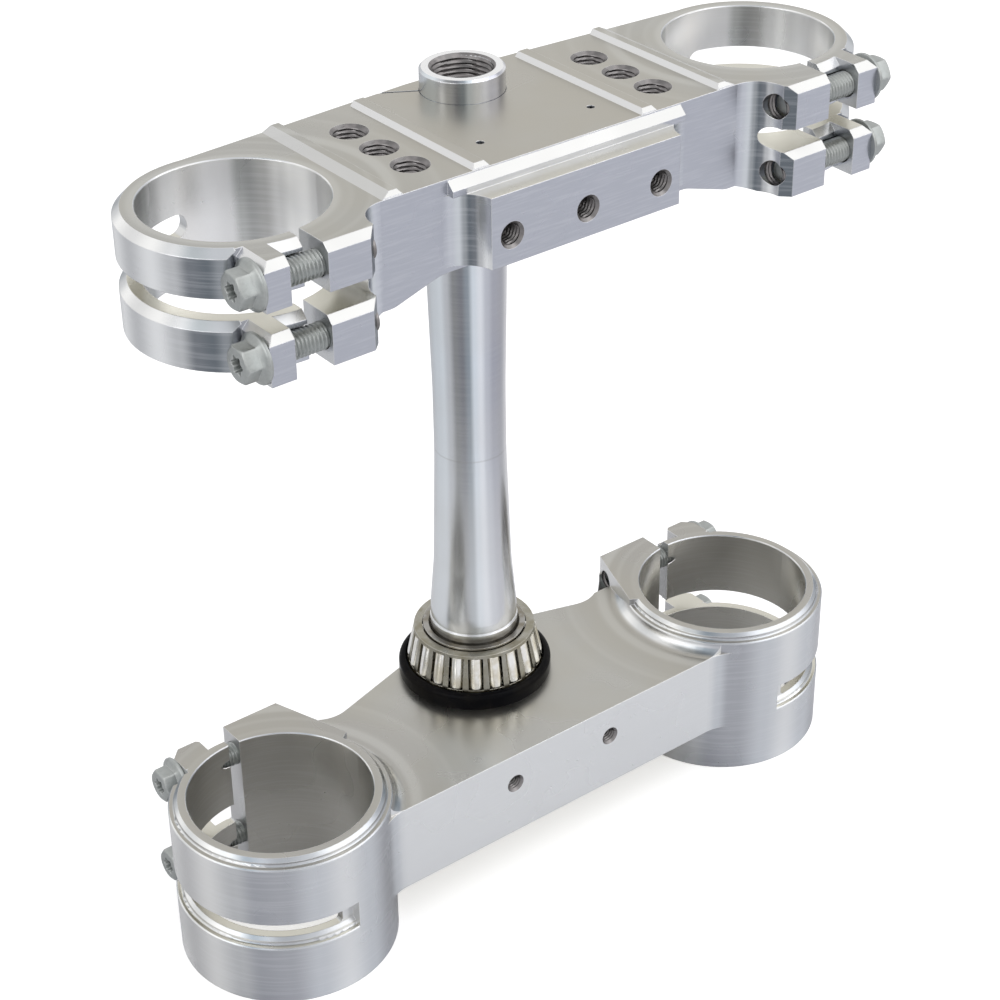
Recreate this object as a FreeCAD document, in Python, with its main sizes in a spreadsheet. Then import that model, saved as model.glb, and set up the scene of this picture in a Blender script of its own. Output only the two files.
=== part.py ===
import FreeCAD, Part
import Sketcher
import math
import os

# Motorcycle triple clamp: two machined fork clamps on a hollow steering stem.
# Frame: +Z up along the steering axis, front at -Y, millimetres.
# The origin is on the steering axis in the plane that the lower bearing stands on.

doc = FreeCAD.newDocument("TripleClamp")
sheet = doc.addObject("Spreadsheet::Sheet", "Sizes")
sheet_rows = []
UP = FreeCAD.Vector(0, 0, 1)


class Length:
    """A number together with the sheet expression that it follows."""

    def __init__(self, value, text):
        self.value = value
        self.text = text

    def joined(self, other, sign, value):
        return Length(value, "(%s %s %s)" % (self.text, sign, other.text))

    def __add__(self, other):
        other = as_length(other)
        return self.joined(other, "+", self.value + other.value)

    def __radd__(self, other):
        return as_length(other) + self

    def __sub__(self, other):
        other = as_length(other)
        return self.joined(other, "-", self.value - other.value)

    def __rsub__(self, other):
        return as_length(other) - self

    def __mul__(self, other):
        other = as_length(other)
        return self.joined(other, "*", self.value * other.value)

    def __rmul__(self, other):
        return as_length(other) * self

    def __truediv__(self, other):
        other = as_length(other)
        return self.joined(other, "/", self.value / other.value)

    def __neg__(self):
        return Length(-self.value, "(0 - %s)" % self.text)


def as_length(number):
    if isinstance(number, Length):
        return number
    return Length(float(number), "(%r)" % float(number))


def size(alias, number, note):
    """Write one driving size into the sheet and return it."""
    sheet_rows.append(alias)
    row = len(sheet_rows)
    sheet.set("A%d" % row, note)
    sheet.set("B%d" % row, str(number))
    sheet.setAlias("B%d" % row, alias)
    return Length(float(number), "Sizes." + alias)


def sine(angle):
    return Length(math.sin(math.radians(angle.value)), "sin(%s)" % angle.text)


def cosine(angle):
    return Length(math.cos(math.radians(angle.value)), "cos(%s)" % angle.text)


def tangent(angle):
    return Length(math.tan(math.radians(angle.value)), "tan(%s)" % angle.text)


def root(square):
    return Length(math.sqrt(square.value), "sqrt(%s)" % square.text)


def bind(thing, name, length):
    thing.setExpression(name, as_length(length).text)


def new_body(label):
    made = doc.addObject("PartDesign::Body", label)
    made.Label = label
    return made


def origin_plane(body, role):
    return [part for part in body.Origin.OriginFeatures if part.Role == role][0]


def sketch(body, name, role, u=0, v=0, out=0, turn=None):
    """A sketch on an origin plane of its body, moved by u, v and out of the plane."""
    made = body.newObject("Sketcher::SketchObject", body.Label + "_" + name)
    made.AttachmentSupport = (origin_plane(body, role), [""])
    made.MapMode = "FlatFace"
    for axis, move in (("x", u), ("y", v), ("z", out)):
        bind(made, "AttachmentOffset.Base." + axis, move)
    if turn is not None:
        bind(made, "AttachmentOffset.Rotation.Angle", turn)
    return made


def constrain(drawing, kind, first, position, length):
    """Hold one coordinate of a point to a length, or to the axis where it is a plain zero."""
    if not isinstance(length, Length) and length == 0:
        axis = -2 if kind == "DistanceX" else -1
        drawing.addConstraint(Sketcher.Constraint("PointOnObject", first, position, axis))
        return
    length = as_length(length)
    index = drawing.addConstraint(Sketcher.Constraint(kind, -1, 1, first, position, length.value))
    hold(drawing, index, length)


def hold(drawing, index, length):
    drawing.renameConstraint(index, "held%d" % index)
    drawing.setExpression("Constraints.held%d" % index, as_length(length).text)


def number_of(length):
    return as_length(length).value


def arc_geometry(start, end, radius, leftward):
    """The short arc from start to end, turning left or right, as counter-clockwise geometry."""
    chord = end - start
    middle = (start + end) * 0.5
    left = FreeCAD.Vector(-chord.y, chord.x, 0)
    left.normalize()
    rise = math.sqrt(max(radius * radius - chord.Length * chord.Length / 4, 0))
    centre = middle + left * (rise if leftward else -rise)
    first, last = (start, end) if leftward else (end, start)
    low = math.atan2(first.y - centre.y, first.x - centre.x)
    high = math.atan2(last.y - centre.y, last.x - centre.x)
    if high < low:
        high += 2 * math.pi
    return Part.ArcOfCircle(Part.Circle(centre, UP, radius), low, high)


class Bend:
    """Bends the side between two corners of an outline; it turns left, or right if hollow."""

    def __init__(self, radius, leftward):
        self.radius = radius
        self.leftward = leftward


def outline(drawing, items):
    """A closed outline of corners (u, v) or (u, v, rounding radius), with Bends between."""
    corners = []
    bends = {}
    for item in items:
        if isinstance(item, Bend):
            bends[len(corners) - 1] = item
        else:
            corners.append(item)
    count = len(corners)
    points = [FreeCAD.Vector(number_of(c[0]), number_of(c[1]), 0) for c in corners]
    leave = list(points)
    reach = list(points)
    for i, corner in enumerate(corners):
        if len(corner) == 3:
            back = (points[i - 1] - points[i]).normalize()
            ahead = (points[(i + 1) % count] - points[i]).normalize()
            half = back.getAngle(ahead) / 2
            run = number_of(corner[2]) / math.tan(half)
            reach[i] = points[i] + back * run
            leave[i] = points[i] + ahead * run
    sides = []
    for i in range(count):
        j = (i + 1) % count
        if i in bends:
            bend = bends[i]
            arc = arc_geometry(points[i], points[j], number_of(bend.radius), bend.leftward)
            ends = (1, 2) if bend.leftward else (2, 1)
            sides.append((drawing.addGeometry(arc, False),) + ends)
        else:
            sides.append((drawing.addGeometry(Part.LineSegment(leave[i], reach[j]), False), 1, 2))
    for i, bend in bends.items():
        index = drawing.addConstraint(Sketcher.Constraint("Radius", sides[i][0], number_of(bend.radius)))
        hold(drawing, index, bend.radius)
    for i, corner in enumerate(corners):
        before, unused, arrive = sides[i - 1]
        after, depart, unused = sides[i]
        if len(corner) == 2:
            drawing.addConstraint(Sketcher.Constraint("Coincident", before, arrive, after, depart))
            constrain(drawing, "DistanceX", after, depart, corner[0])
            constrain(drawing, "DistanceY", after, depart, corner[1])
            continue
        turn = (points[i] - reach[i]).cross(leave[i] - points[i]).z
        arc = arc_geometry(reach[i], leave[i], number_of(corner[2]), turn > 0)
        rounding = drawing.addGeometry(arc, False)
        begin, finish = (1, 2) if turn > 0 else (2, 1)
        drawing.addConstraint(Sketcher.Constraint("Tangent", before, arrive, rounding, begin))
        drawing.addConstraint(Sketcher.Constraint("Tangent", rounding, finish, after, depart))
        mark = drawing.addGeometry(Part.Point(points[i]), True)
        drawing.addConstraint(Sketcher.Constraint("PointOnObject", mark, 1, before))
        drawing.addConstraint(Sketcher.Constraint("PointOnObject", mark, 1, after))
        constrain(drawing, "DistanceX", mark, 1, corner[0])
        constrain(drawing, "DistanceY", mark, 1, corner[1])
        index = drawing.addConstraint(Sketcher.Constraint("Radius", rounding, number_of(corner[2])))
        hold(drawing, index, corner[2])
    return drawing


def circle(drawing, u, v, radius):
    centre = FreeCAD.Vector(number_of(u), number_of(v), 0)
    geometry = drawing.addGeometry(Part.Circle(centre, UP, number_of(radius)), False)
    constrain(drawing, "DistanceX", geometry, 3, u)
    constrain(drawing, "DistanceY", geometry, 3, v)
    index = drawing.addConstraint(Sketcher.Constraint("Radius", geometry, number_of(radius)))
    hold(drawing, index, radius)
    return drawing


def solid_volume(body):
    doc.recompute()
    return body.Shape.Volume


def add(body, kind, drawing):
    made = body.newObject("PartDesign::" + kind, drawing.Name + "_" + kind)
    made.Profile = drawing
    return made


def pad(body, drawing, length, reverse=False, symmetric=False):
    made = add(body, "Pad", drawing)
    bind(made, "Length", length)
    made.Reversed = reverse
    if symmetric:
        made.SideType = "Symmetric"
    doc.recompute()
    return made


def cut(body, drawing, length=None, reverse=False, both=False):
    """A pocket, through everything where it has no length; it has to take material away."""
    before = solid_volume(body)
    made = add(body, "Pocket", drawing)
    if length is None:
        made.Type = "ThroughAll"
    else:
        bind(made, "Length", length)
    made.Reversed = reverse
    if both:
        made.SideType = "Symmetric"
    must_shrink(body, before, made)
    return made


def must_shrink(body, before, made):
    if solid_volume(body) >= before:
        raise RuntimeError(made.Name + " takes nothing away")


def turned(body, kind, drawing, angle=None, refine=True):
    """A revolution or groove about the sketch's upright axis; a part turn is centred on the sketch."""
    before = solid_volume(body) if kind == "Groove" else 0
    made = add(body, kind, drawing)
    made.ReferenceAxis = (drawing, ["V_Axis"])
    made.Refine = refine
    if angle is not None:
        bind(made, "Angle", angle)
        made.Midplane = True
    if kind == "Groove":
        must_shrink(body, before, made)
    doc.recompute()
    return made


def tapped_holes(body, drawing, radius, mouth, depth=None, reverse=False):
    """Round holes at the sketch's circles, each with a 45 degree lead at its mouth."""
    before = solid_volume(body)
    made = add(body, "Hole", drawing)
    bind(made, "Diameter", radius * 2)
    made.HoleCutType = "Countersink"
    made.HoleCutCustomValues = True
    made.HoleCutCountersinkAngle = 90
    bind(made, "HoleCutDiameter", mouth * 2)
    made.DrillPoint = "Flat"
    if depth is None:
        made.DepthType = "ThroughAll"
    else:
        bind(made, "Depth", depth)
    made.Reversed = reverse
    must_shrink(body, before, made)
    return made


def edges_where(body, test):
    """Names of the edges of the body's last feature whose middle and box pass a test."""
    doc.recompute()
    shape = body.Tip.Shape
    names = []
    for index, edge in enumerate(shape.Edges):
        box = edge.BoundBox
        if test(box):
            names.append("Edge%d" % (index + 1))
    return names


def dress(body, kind, name, amount, test):
    """A chamfer or fillet on the edges that a test picks."""
    names = edges_where(body, test)
    if not names:
        raise RuntimeError(name + " finds no edge")
    made = body.newObject("PartDesign::" + kind, body.Label + "_" + name)
    made.Base = (made.BaseFeature or body.Tip, names)
    bind(made, "Size" if kind == "Chamfer" else "Radius", amount)
    doc.recompute()
    return made


def near(number, length):
    return abs(number - number_of(length)) < 0.02


def mirror_whole(body):
    made = body.newObject("PartDesign::Mirrored", body.Label + "_mirror")
    made.MirrorPlane = (origin_plane(body, "YZ_Plane"), [""])
    made.TransformMode = "Whole shape"
    body.Tip = made
    doc.recompute()
    return made


# Sizes that both clamps share

fork_spread = size("fork_spread", 95.5, "steering axis to fork axis, sideways")
fork_offset = size("fork_offset", 22.6, "steering axis to fork axis, forwards")
past = size("cut_overrun", 2, "how far a cut starts outside the metal")
slot_height = size("slot_height", 7.6, "height of the slot between the two halves of a fork clamp")
nearly_half = size("slot_end_share", 0.499, "radius of a slot's round end as a share of its height")
bolt_radius = size("bolt_radius", 4, "pinch bolt shank")
bolt_clear = size("bolt_clearance", 0.3, "room round a pinch bolt in its plain hole")
thread_clear = size("thread_clearance", 0.05, "room round a bolt in its threaded hole")
flange_radius = size("flange_radius", 7.5, "flange of a pinch bolt")

# Sizes of the upper clamp

upper_top = size("upper_top", 213.6, "bearing seat to the top face of the upper clamp")
upper_height = size("upper_height", 36, "height of the upper clamp at its fork bores")
upper_bore = size("upper_bore", 27, "fork bore of the upper clamp")
upper_wall = size("upper_wall", 6.3, "wall round the upper fork bore")
upper_slot_drop = size("upper_slot_drop", 17.7, "top face to the middle of the slot")
rim_bevel = size("rim_bevel", 2.3, "bevel round the outside of the upper clamp")
bore_lead = size("bore_lead", 0.3, "chamfer at the mouth of a fork bore")
upper_front = size("upper_front", 50, "steering axis to the front wall")
upper_back = size("upper_back", 17.3, "steering axis to the back wall")
back_flat = size("back_flat", 12, "half width of the straight middle of the back wall")
back_rake = size("back_rake", 3.6, "angle at which the back wall runs forwards to the ring")
ear_front = size("ear_front", 63.2, "steering axis to the front of the pinch ears")
ear_inner = size("ear_inner", 75.3, "inboard face of the fixed ear")
ear_gap_inner = size("ear_gap_inner", 92, "fixed ear's face at the gap")
ear_gap = size("ear_gap", 12, "gap between the fixed and the moving ear")
ear_thickness = size("ear_thickness", 8, "thickness of the moving ear")
ear_corner = size("ear_corner", 3, "upright chamfer on the fixed ear")
ear_root = size("ear_root_radius", 9.5, "hollow corner between front wall and fixed ear")
upper_slit = size("upper_slit", 3.2, "width of the slit through the ring's front wall")
slot_front_end = size("slot_front_end", 72.5, "inboard end of the slot at the front")
slot_back_end = size("slot_back_end", 95.4, "inboard end of the slot at the back")
spot_clear = size("spot_clearance", 0.3, "room beside a bolt flange where the ring is milled flat")
plate_thickness = size("plate_thickness", 28.5, "plate between the stem and the ears")
relief_start = size("relief_start", 46, "where the underside starts to drop")
relief_step = size("relief_step", 64.5, "middle of the step in the underside")
relief_drop = size("relief_drop", 5.1, "drop of the underside at its step")
relief_end = size("relief_end", 73, "where the underside reaches its lowest level")
relief_round = size("relief_round", 2, "radius at the foot of the step in the underside")

# Sizes of its ridges

ridge_height = size("ridge_height", 1.5, "height of the ridges on the top face")
ridge_lead = size("ridge_lead", 1.2, "width of a ridge's steep side")
inner_ridge = size("inner_ridge", 28, "inboard foot of the inner ridge")
inner_ridge_width = size("inner_ridge_width", 6, "width of the inner ridge")
outer_ridge = size("outer_ridge", 58, "inboard foot of the outer ridge")
outer_ridge_width = size("outer_ridge_width", 7, "width of the outer ridge")
outer_ridge_top = size("outer_ridge_top", 2.6, "width of the outer ridge's top")

# Sizes of its holes

bar_hole = size("bar_hole_radius", 5, "threaded hole for a handlebar mount")
bar_hole_x = size("bar_hole_x", 45, "handlebar mount holes, sideways")
bar_hole_y = size("bar_hole_y", 20.2, "middle handlebar mount hole, forwards")
bar_hole_pitch = size("bar_hole_pitch", 15, "distance between handlebar mount holes")
hole_lead = size("hole_lead", 0.8, "lead at the mouth of a threaded hole")
small_hole = size("small_hole_radius", 1.25, "small hole in front of the stem")
small_hole_x = size("small_hole_x", 20.5, "small holes, sideways")
small_hole_y = size("small_hole_y", 35.5, "small holes, forwards")
small_hole_depth = size("small_hole_depth", 8, "depth of the small holes")

# Sizes of its pinch bolt holes

pinch_y = size("pinch_y", 57.5, "steering axis to the front pinch bolts")
pinch_drop = size("pinch_drop", 7.3, "top face to the first pinch bolt")
pinch_pitch = size("pinch_pitch", 21.8, "distance between the front pinch bolts")

# Sizes of its front boss

strip_half = size("strip_half", 43, "half width of the strip above the ledge")
strip_out = size("strip_out", 2.5, "how far the strip stands out of the front wall")
strip_bevel = size("strip_bevel", 3, "bevel on the strip's upper edge")
ledge_drop = size("ledge_drop", 4.9, "top face to the ledge")
boss_front = size("boss_front", 59.4, "steering axis to the boss face")
boss_half = size("boss_half", 35, "half width of the boss face")
boss_height = size("boss_height", 22, "height of the boss face")
boss_root = size("boss_root", 10, "hollow sides of the boss")
boss_hole = size("boss_hole_radius", 3.4, "threaded hole in the boss face")
boss_hole_pitch = size("boss_hole_pitch", 27.7, "distance between the holes in the boss face")
boss_hole_drop = size("boss_hole_drop", 18.1, "top face to the holes in the boss face")
boss_hole_depth = size("boss_hole_depth", 16, "depth of the holes in the boss face")

# Sizes of its stem bore and the bolt that closes it

stem_radius = size("stem_radius", 13.1, "stem in the upper clamp")
stem_clear = size("stem_clearance", 0.12, "room round the stem in the upper clamp")
slit_angle = size("stem_slit_angle", 149, "direction of the stem bore's slit")
slit_width = size("stem_slit_width", 0.9, "width of the stem bore's slit")
pinch_x = size("stem_pinch_x", 17.5, "stem pinch bolt, sideways")
stem_pinch_radius = size("stem_pinch_radius", 3, "stem pinch bolt shank")
stem_pinch_head = size("stem_pinch_head", 5, "stem pinch bolt head")
stem_pinch_sunk = size("stem_pinch_sunk", 2.5, "depth of the stem pinch bolt's seat in the back wall")
stem_pinch_length = size("stem_pinch_length", 26, "stem pinch bolt under its head")

# Sizes of the lower clamp

arm_front = size("arm_front", 49, "steering axis to the arm's front face")
arm_thickness = size("arm_thickness", 32.2, "thickness of the arm")
stem_boss = size("stem_boss_radius", 26.2, "round back of the arm behind the stem")
arm_back_start = size("arm_back_start", 21.5, "where the back wall leaves the round boss")
arm_waist_x = size("arm_waist_x", 57.3, "narrowest place of the arm, sideways")
arm_waist_y = size("arm_waist_y", 4.3, "back wall at the narrowest place")
arm_waist_radius = size("arm_waist_radius", 12, "hollow corner of the back wall")
arm_web = size("arm_web_radius", 15, "hollow corner between the arm's front face and the ring")
lower_bore = size("lower_bore", 30, "fork bore of the lower clamp")
lower_wall = size("lower_wall", 6, "wall round the lower fork bore")
lower_rise = size("lower_rise", 6.5, "arm's top face to the top of the rings")
lower_height = size("lower_height", 57.2, "height of the lower fork rings")
lower_slot_drop = size("lower_slot_drop", 28.5, "top of the ring to the middle of the slot")
lower_slot_round = size("lower_slot_round", 1.5, "corner radius of the slot's end")
rim_flat = size("rim_flat", 2.8, "width of the flat rim from the bore outwards")
rim_slope = size("rim_slope", 1.1, "bevel beside the flat rim")
rim_step = size("rim_step", 0.5, "upright step under the bevel")
rim_cove = size("rim_cove", 0.85, "hollow moulding of the rim")
rim_lip = size("rim_lip", 0.4, "chamfer on the lip under the moulding")
rim_turn = size("rim_turn", 7.2, "how far the lower rim runs past the slot's end, in degrees")
foot_width = size("foot_width", 4.2, "how far the foot between ring and arm reaches")
foot_round = size("foot_round", 4.6, "hollow radius of that foot")
foot_height = size("foot_height", 3.7, "height of that foot")
foot_turn = size("foot_turn", 120, "arc of the foot, in degrees")
lower_ear_back = size("lower_ear_back", 17.2, "steering axis to the back of the fixed ear")
lower_ear_rake = size("lower_ear_rake", 19.2, "angle of the fixed ear's inboard face")
lower_gap_inner = size("lower_gap_inner", 92, "fixed ear's face at the slit")
lower_slit = size("lower_slit", 4, "width of the slit through the ring's back wall")
moving_inner = size("moving_inner", 102.4, "inboard face of the moving ears")
moving_thickness = size("moving_thickness", 11.2, "thickness of the moving ears")
moving_back = size("moving_back", 16.2, "steering axis to the back of the moving ears")
moving_corner = size("moving_corner", 1, "upright chamfer on the moving ears, inboard")
moving_slant = size("moving_slant", 3.5, "upright chamfer on the moving ears, outboard")
lower_pinch_y = size("lower_pinch_y", 11.5, "steering axis to the back pinch bolts")
lower_pinch_drop = size("lower_pinch_drop", 7.3, "top of the ring to the first back pinch bolt")
lower_pinch_pitch = size("lower_pinch_pitch", 33.7, "distance between the back pinch bolts")
front_hole = size("front_hole_radius", 2.5, "threaded hole in the arm's front face")
front_hole_x = size("front_hole_x", 20.5, "threaded holes in the arm's front face, sideways")
front_hole_drop = size("front_hole_drop", 11.9, "arm's top face to those holes")
front_hole_depth = size("front_hole_depth", 15, "depth of those holes")

# Sizes of the steering stem

stem_top = size("stem_top", 221, "bearing seat to the top of the stem")
stem_lead = size("stem_lead", 0.7, "chamfers on the stem's ends")
stem_waist = size("stem_waist", 11.9, "stem at its waist")
stem_waist_low = size("stem_waist_low", 88, "lower end of the waist")
stem_waist_high = size("stem_waist_high", 112, "upper end of the waist")
stem_taper_end = size("stem_taper_end", 152, "where the upper taper ends")
stem_neck = size("stem_neck", 12.75, "stem above the upper taper")
stem_flare = size("stem_flare", 13.2, "stem where the lower flare starts")
stem_flare_level = size("stem_flare_level", 45, "height of that place")
stem_shoulder = size("stem_shoulder", 14.75, "stem just above the bearing")
stem_shoulder_level = size("stem_shoulder_level", 27, "where that shoulder starts")
stem_relief = size("stem_relief", 0.5, "depth of the groove above the bearing seat")
stem_seat = size("stem_seat", 15, "stem in the bearing and the lower clamp")
stem_seat_top = size("stem_seat_top", 22.3, "top of the bearing seat")
stem_seat_clear = size("stem_seat_clearance", 0.02, "fit between the stem and what is pressed on it")
stem_bottom = size("stem_bottom", 1, "how far the stem stands out under the arm")
stem_hole = size("stem_hole", 8.8, "hole through the stem")
stem_thread = size("stem_thread_radius", 9.5, "threaded upper end of that hole")
stem_thread_depth = size("stem_thread_depth", 32, "depth of the thread")

# Sizes of the dust seal

seal_radius = size("seal_radius", 26.4, "outside of the dust seal")
seal_height = size("seal_height", 5.5, "height of the dust seal")
seal_floor = size("seal_floor", 1.8, "thickness of the seal under the bearing")
seal_inner = size("seal_inner", 24.1, "inside of the seal's wall")
seal_round = size("seal_round", 1.9, "rounding of the seal's outer edge")

# Sizes of the bearing

roller_count = size("roller_count", 20, "rollers in the bearing")
apex = size("bearing_apex", 117, "bearing seat to the point where all roller axes meet")
race_angle = size("race_angle", 9.45, "half angle of the raceway")
roller_half_angle = size("roller_half_angle", 1.27, "half angle of one roller")
roller_length = size("roller_length", 11, "length of a roller")
roller_level = size("roller_level", 11.2, "height of a roller's middle")
roller_clear = size("roller_clearance", 0.05, "room between a roller and the raceway")
cone_height = size("cone_height", 17.2, "height of the bearing's cone")
small_rib = size("small_rib", 17.6, "radius of the cone's small rib")
small_rib_height = size("small_rib_height", 2.3, "height of the small rib")
large_rib = size("large_rib", 20.6, "radius of the cone's large rib")
large_rib_height = size("large_rib_height", 3.2, "height of the large rib")
cage_wall = size("cage_wall", 0.8, "thickness of the cage's sheet")
cage_low = size("cage_low", 23.45, "outside of the cage at its bottom")
cage_high = size("cage_high", 20.75, "outside of the cage at its top")
cage_bottom = size("cage_bottom", 4.3, "height of the cage's bottom")
cage_top = size("cage_top", 18.1, "height of the cage's top")
cage_eye = size("cage_eye", 17.95, "hole in the cage's top flange")
cage_foot = size("cage_foot", 21.6, "inside of the cage's bottom flange")
window_width = size("window_width", 5.15, "width of a cage window")
window_low = size("window_low", 5.6, "bottom of the cage windows")
window_high = size("window_high", 17, "top of the cage windows")

# Sizes of the bolts

flange_height = size("flange_height", 1.2, "edge of a bolt's flange")
flange_slope = size("flange_slope", 0.9, "rise of the flange towards the hexagon")
hex_radius = size("hex_radius", 5.8, "hexagon head across its corners, halved")
head_height = size("head_height", 7, "height of a pinch bolt's head")
crown_slope = size("crown_slope", 30, "slope of the bevel on a bolt's head, in degrees")
recess_radius = size("recess_radius", 2.1, "core of the six-lobe recess")
lobe_radius = size("lobe_radius", 0.8, "lobes of the recess")
recess_depth = size("recess_depth", 3.2, "depth of the recess in a pinch bolt")
small_recess_depth = size("small_recess_depth", 2.2, "depth of the recess in the stem pinch bolt")
front_grip = size("front_bolt_grip", 13.5, "how far a front pinch bolt reaches into the fixed ear")
back_grip = size("back_bolt_grip", 19.4, "how far a back pinch bolt reaches into the fixed ear")
bolt_lead = size("bolt_lead", 0.9, "chamfer on a bolt's end")
stem_pinch_head_height = size("stem_pinch_head_height", 4.5, "height of the stem pinch bolt's head")

fork_y = -fork_offset

# Upper clamp: heights from its top face, widths for the right half

upper_bottom = upper_top - upper_height
upper_outer = upper_bore + upper_wall
slot_middle = upper_top - upper_slot_drop
slot_round = slot_height * nearly_half
slot_low = slot_middle - slot_height / 2
slot_high = slot_middle + slot_height / 2
upper_under = upper_top - plate_thickness
ear_gap_outer = ear_gap_inner + ear_gap
ear_outer = ear_gap_outer + ear_thickness
spot_flat = pinch_y - flange_radius - spot_clear
far_out = fork_spread + upper_outer + past

upper = new_body("upper_clamp")

# Fork ring with a bevelled rim on its upper half and on its lower half
ring = sketch(upper, "ring", "XZ_Plane", fork_spread, 0, fork_offset)
outline(ring, [
    (upper_bore - past, upper_bottom),
    (upper_outer, upper_bottom),
    (upper_outer, slot_low - rim_bevel),
    (upper_outer - rim_bevel, slot_low),
    (upper_outer - rim_bevel, slot_high),
    (upper_outer, slot_high),
    (upper_outer, upper_top - rim_bevel),
    (upper_outer - rim_bevel, upper_top),
    (upper_bore - past, upper_top),
])
turned(upper, "Revolution", ring)

# Plate from the steering axis to the ring, with the fixed ear at its front
touch_x = fork_spread - upper_outer * sine(back_rake)
touch_y = fork_y + upper_outer * cosine(back_rake)
back_corner_y = touch_y + (touch_x - back_flat) * tangent(back_rake)
plate = sketch(upper, "plate", "XY_Plane", 0, 0, upper_bottom)
outline(plate, [
    (0, -upper_front),
    (ear_inner, -upper_front, ear_root),
    (ear_inner, ear_corner - ear_front),
    (ear_inner + ear_corner, -ear_front),
    (ear_gap_inner, -ear_front),
    (ear_gap_inner, fork_y),
    (touch_x, touch_y),
    (back_flat, back_corner_y),
    (0, back_corner_y),
])
pad(upper, plate, upper_height)

# Moving ear, left thick where the flat for the bolt flanges is milled
moving = sketch(upper, "moving_ear", "XY_Plane", 0, 0, upper_bottom)
outline(moving, [
    (ear_gap_outer, -ear_front),
    (ear_outer + past, -ear_front),
    (ear_outer + past, -spot_flat),
    (ear_outer, -spot_flat),
    (ear_outer, fork_y - upper_bore / 2),
    (ear_gap_outer, fork_y - upper_bore / 2),
])
pad(upper, moving, upper_height)

# Underside, relieved between the boss and the ears
relief = sketch(upper, "relief", "XZ_Plane")
outline(relief, [
    (0, upper_bottom - past),
    (relief_end, upper_bottom - past),
    (relief_end, upper_bottom),
    (relief_step + relief_round, upper_under - relief_drop, relief_round),
    (relief_step - relief_round, upper_under - relief_drop, relief_round * 4),
    (relief_start, upper_under, relief_round * 6),
    (0, upper_under),
])
cut(upper, relief, both=True)

# Flat in the ring outboard of the moving ear, where the bolt flanges turn
flat = sketch(upper, "spot_flat", "XY_Plane", 0, 0, upper_top)
outline(flat, [
    (ear_outer, -spot_flat),
    (ear_outer, -ear_front - past),
    (far_out, -ear_front - past),
    (far_out, -spot_flat),
])
cut(upper, flat)

# Slot between the upper and lower halves of the clamp: once from the front, once from the back
front_slot = sketch(upper, "front_slot", "XZ_Plane", 0, 0, fork_offset)
outline(front_slot, [
    (slot_front_end, slot_low, slot_round),
    (far_out, slot_low),
    (far_out, slot_high),
    (slot_front_end, slot_high, slot_round),
])
cut(upper, front_slot, reverse=True)
back_slot = sketch(upper, "back_slot", "XZ_Plane", 0, 0, fork_offset)
outline(back_slot, [
    (slot_back_end, slot_low, slot_round),
    (far_out, slot_low),
    (far_out, slot_high),
    (slot_back_end, slot_high, slot_round),
])
cut(upper, back_slot)

# Upright slit through the front wall of the ring
slit = sketch(upper, "slit", "XY_Plane", 0, 0, upper_top)
outline(slit, [
    (ear_gap_inner, fork_y),
    (ear_gap_inner, -ear_front - past),
    (ear_gap_inner + upper_slit, -ear_front - past),
    (ear_gap_inner + upper_slit, fork_y),
])
cut(upper, slit)

# Bevels along the front of the ears and down their outboard side, at the top and under the slot
front_bevel = sketch(upper, "front_bevel", "YZ_Plane", 0, 0, ear_inner - past)
side_bevel = sketch(upper, "side_bevel", "XZ_Plane", 0, 0, spot_flat)
for level in (upper_top, slot_low):
    outline(front_bevel, [
        (-ear_front, level - rim_bevel),
        (rim_bevel - ear_front, level),
        (rim_bevel - ear_front, level + past),
        (-ear_front - past, level + past),
        (-ear_front - past, level - rim_bevel),
    ])
    outline(side_bevel, [
        (ear_outer - rim_bevel, level),
        (ear_outer, level - rim_bevel),
        (ear_outer + past, level - rim_bevel),
        (ear_outer + past, level + past),
        (ear_outer - rim_bevel, level + past),
    ])
cut(upper, front_bevel, reverse=True)
cut(upper, side_bevel, reverse=True)


# Bevel along the back wall
def back_wall_edge(box):
    return near(box.ZMin, upper_top) and box.YMin > touch_y.value - 0.02 and box.XMin < touch_x.value - 1


dress(upper, "Chamfer", "back_bevel", rim_bevel, back_wall_edge)

# Two low ridges across the top face
ridge_front = upper_front - bore_lead
ridge_back = back_corner_y - rim_bevel - (outer_ridge + outer_ridge_width - back_flat) * tangent(back_rake)
ridges = sketch(upper, "inner_ridge", "XZ_Plane", 0, 0, ridge_front)
outline(ridges, [
    (inner_ridge, upper_top - ridge_height),
    (inner_ridge, upper_top),
    (inner_ridge + ridge_lead, upper_top + ridge_height),
    (inner_ridge + inner_ridge_width - ridge_lead, upper_top + ridge_height),
    (inner_ridge + inner_ridge_width, upper_top),
    (inner_ridge + inner_ridge_width, upper_top - ridge_height),
])
pad(upper, ridges, ridge_front + ridge_back, reverse=True)
ridges = sketch(upper, "outer_ridge", "XZ_Plane", 0, 0, ridge_front)
outline(ridges, [
    (outer_ridge, upper_top - ridge_height),
    (outer_ridge, upper_top),
    (outer_ridge + ridge_lead, upper_top + ridge_height),
    (outer_ridge + ridge_lead + outer_ridge_top, upper_top + ridge_height),
    (outer_ridge + outer_ridge_width, upper_top),
    (outer_ridge + outer_ridge_width, upper_top - ridge_height),
])
pad(upper, ridges, ridge_front + ridge_back, reverse=True)


def ridge_end_edge(box):
    return near(box.ZMin, upper_top + ridge_height) and near(box.YMax, -ridge_front)


dress(upper, "Chamfer", "ridge_ends", ridge_lead, ridge_end_edge)

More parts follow.
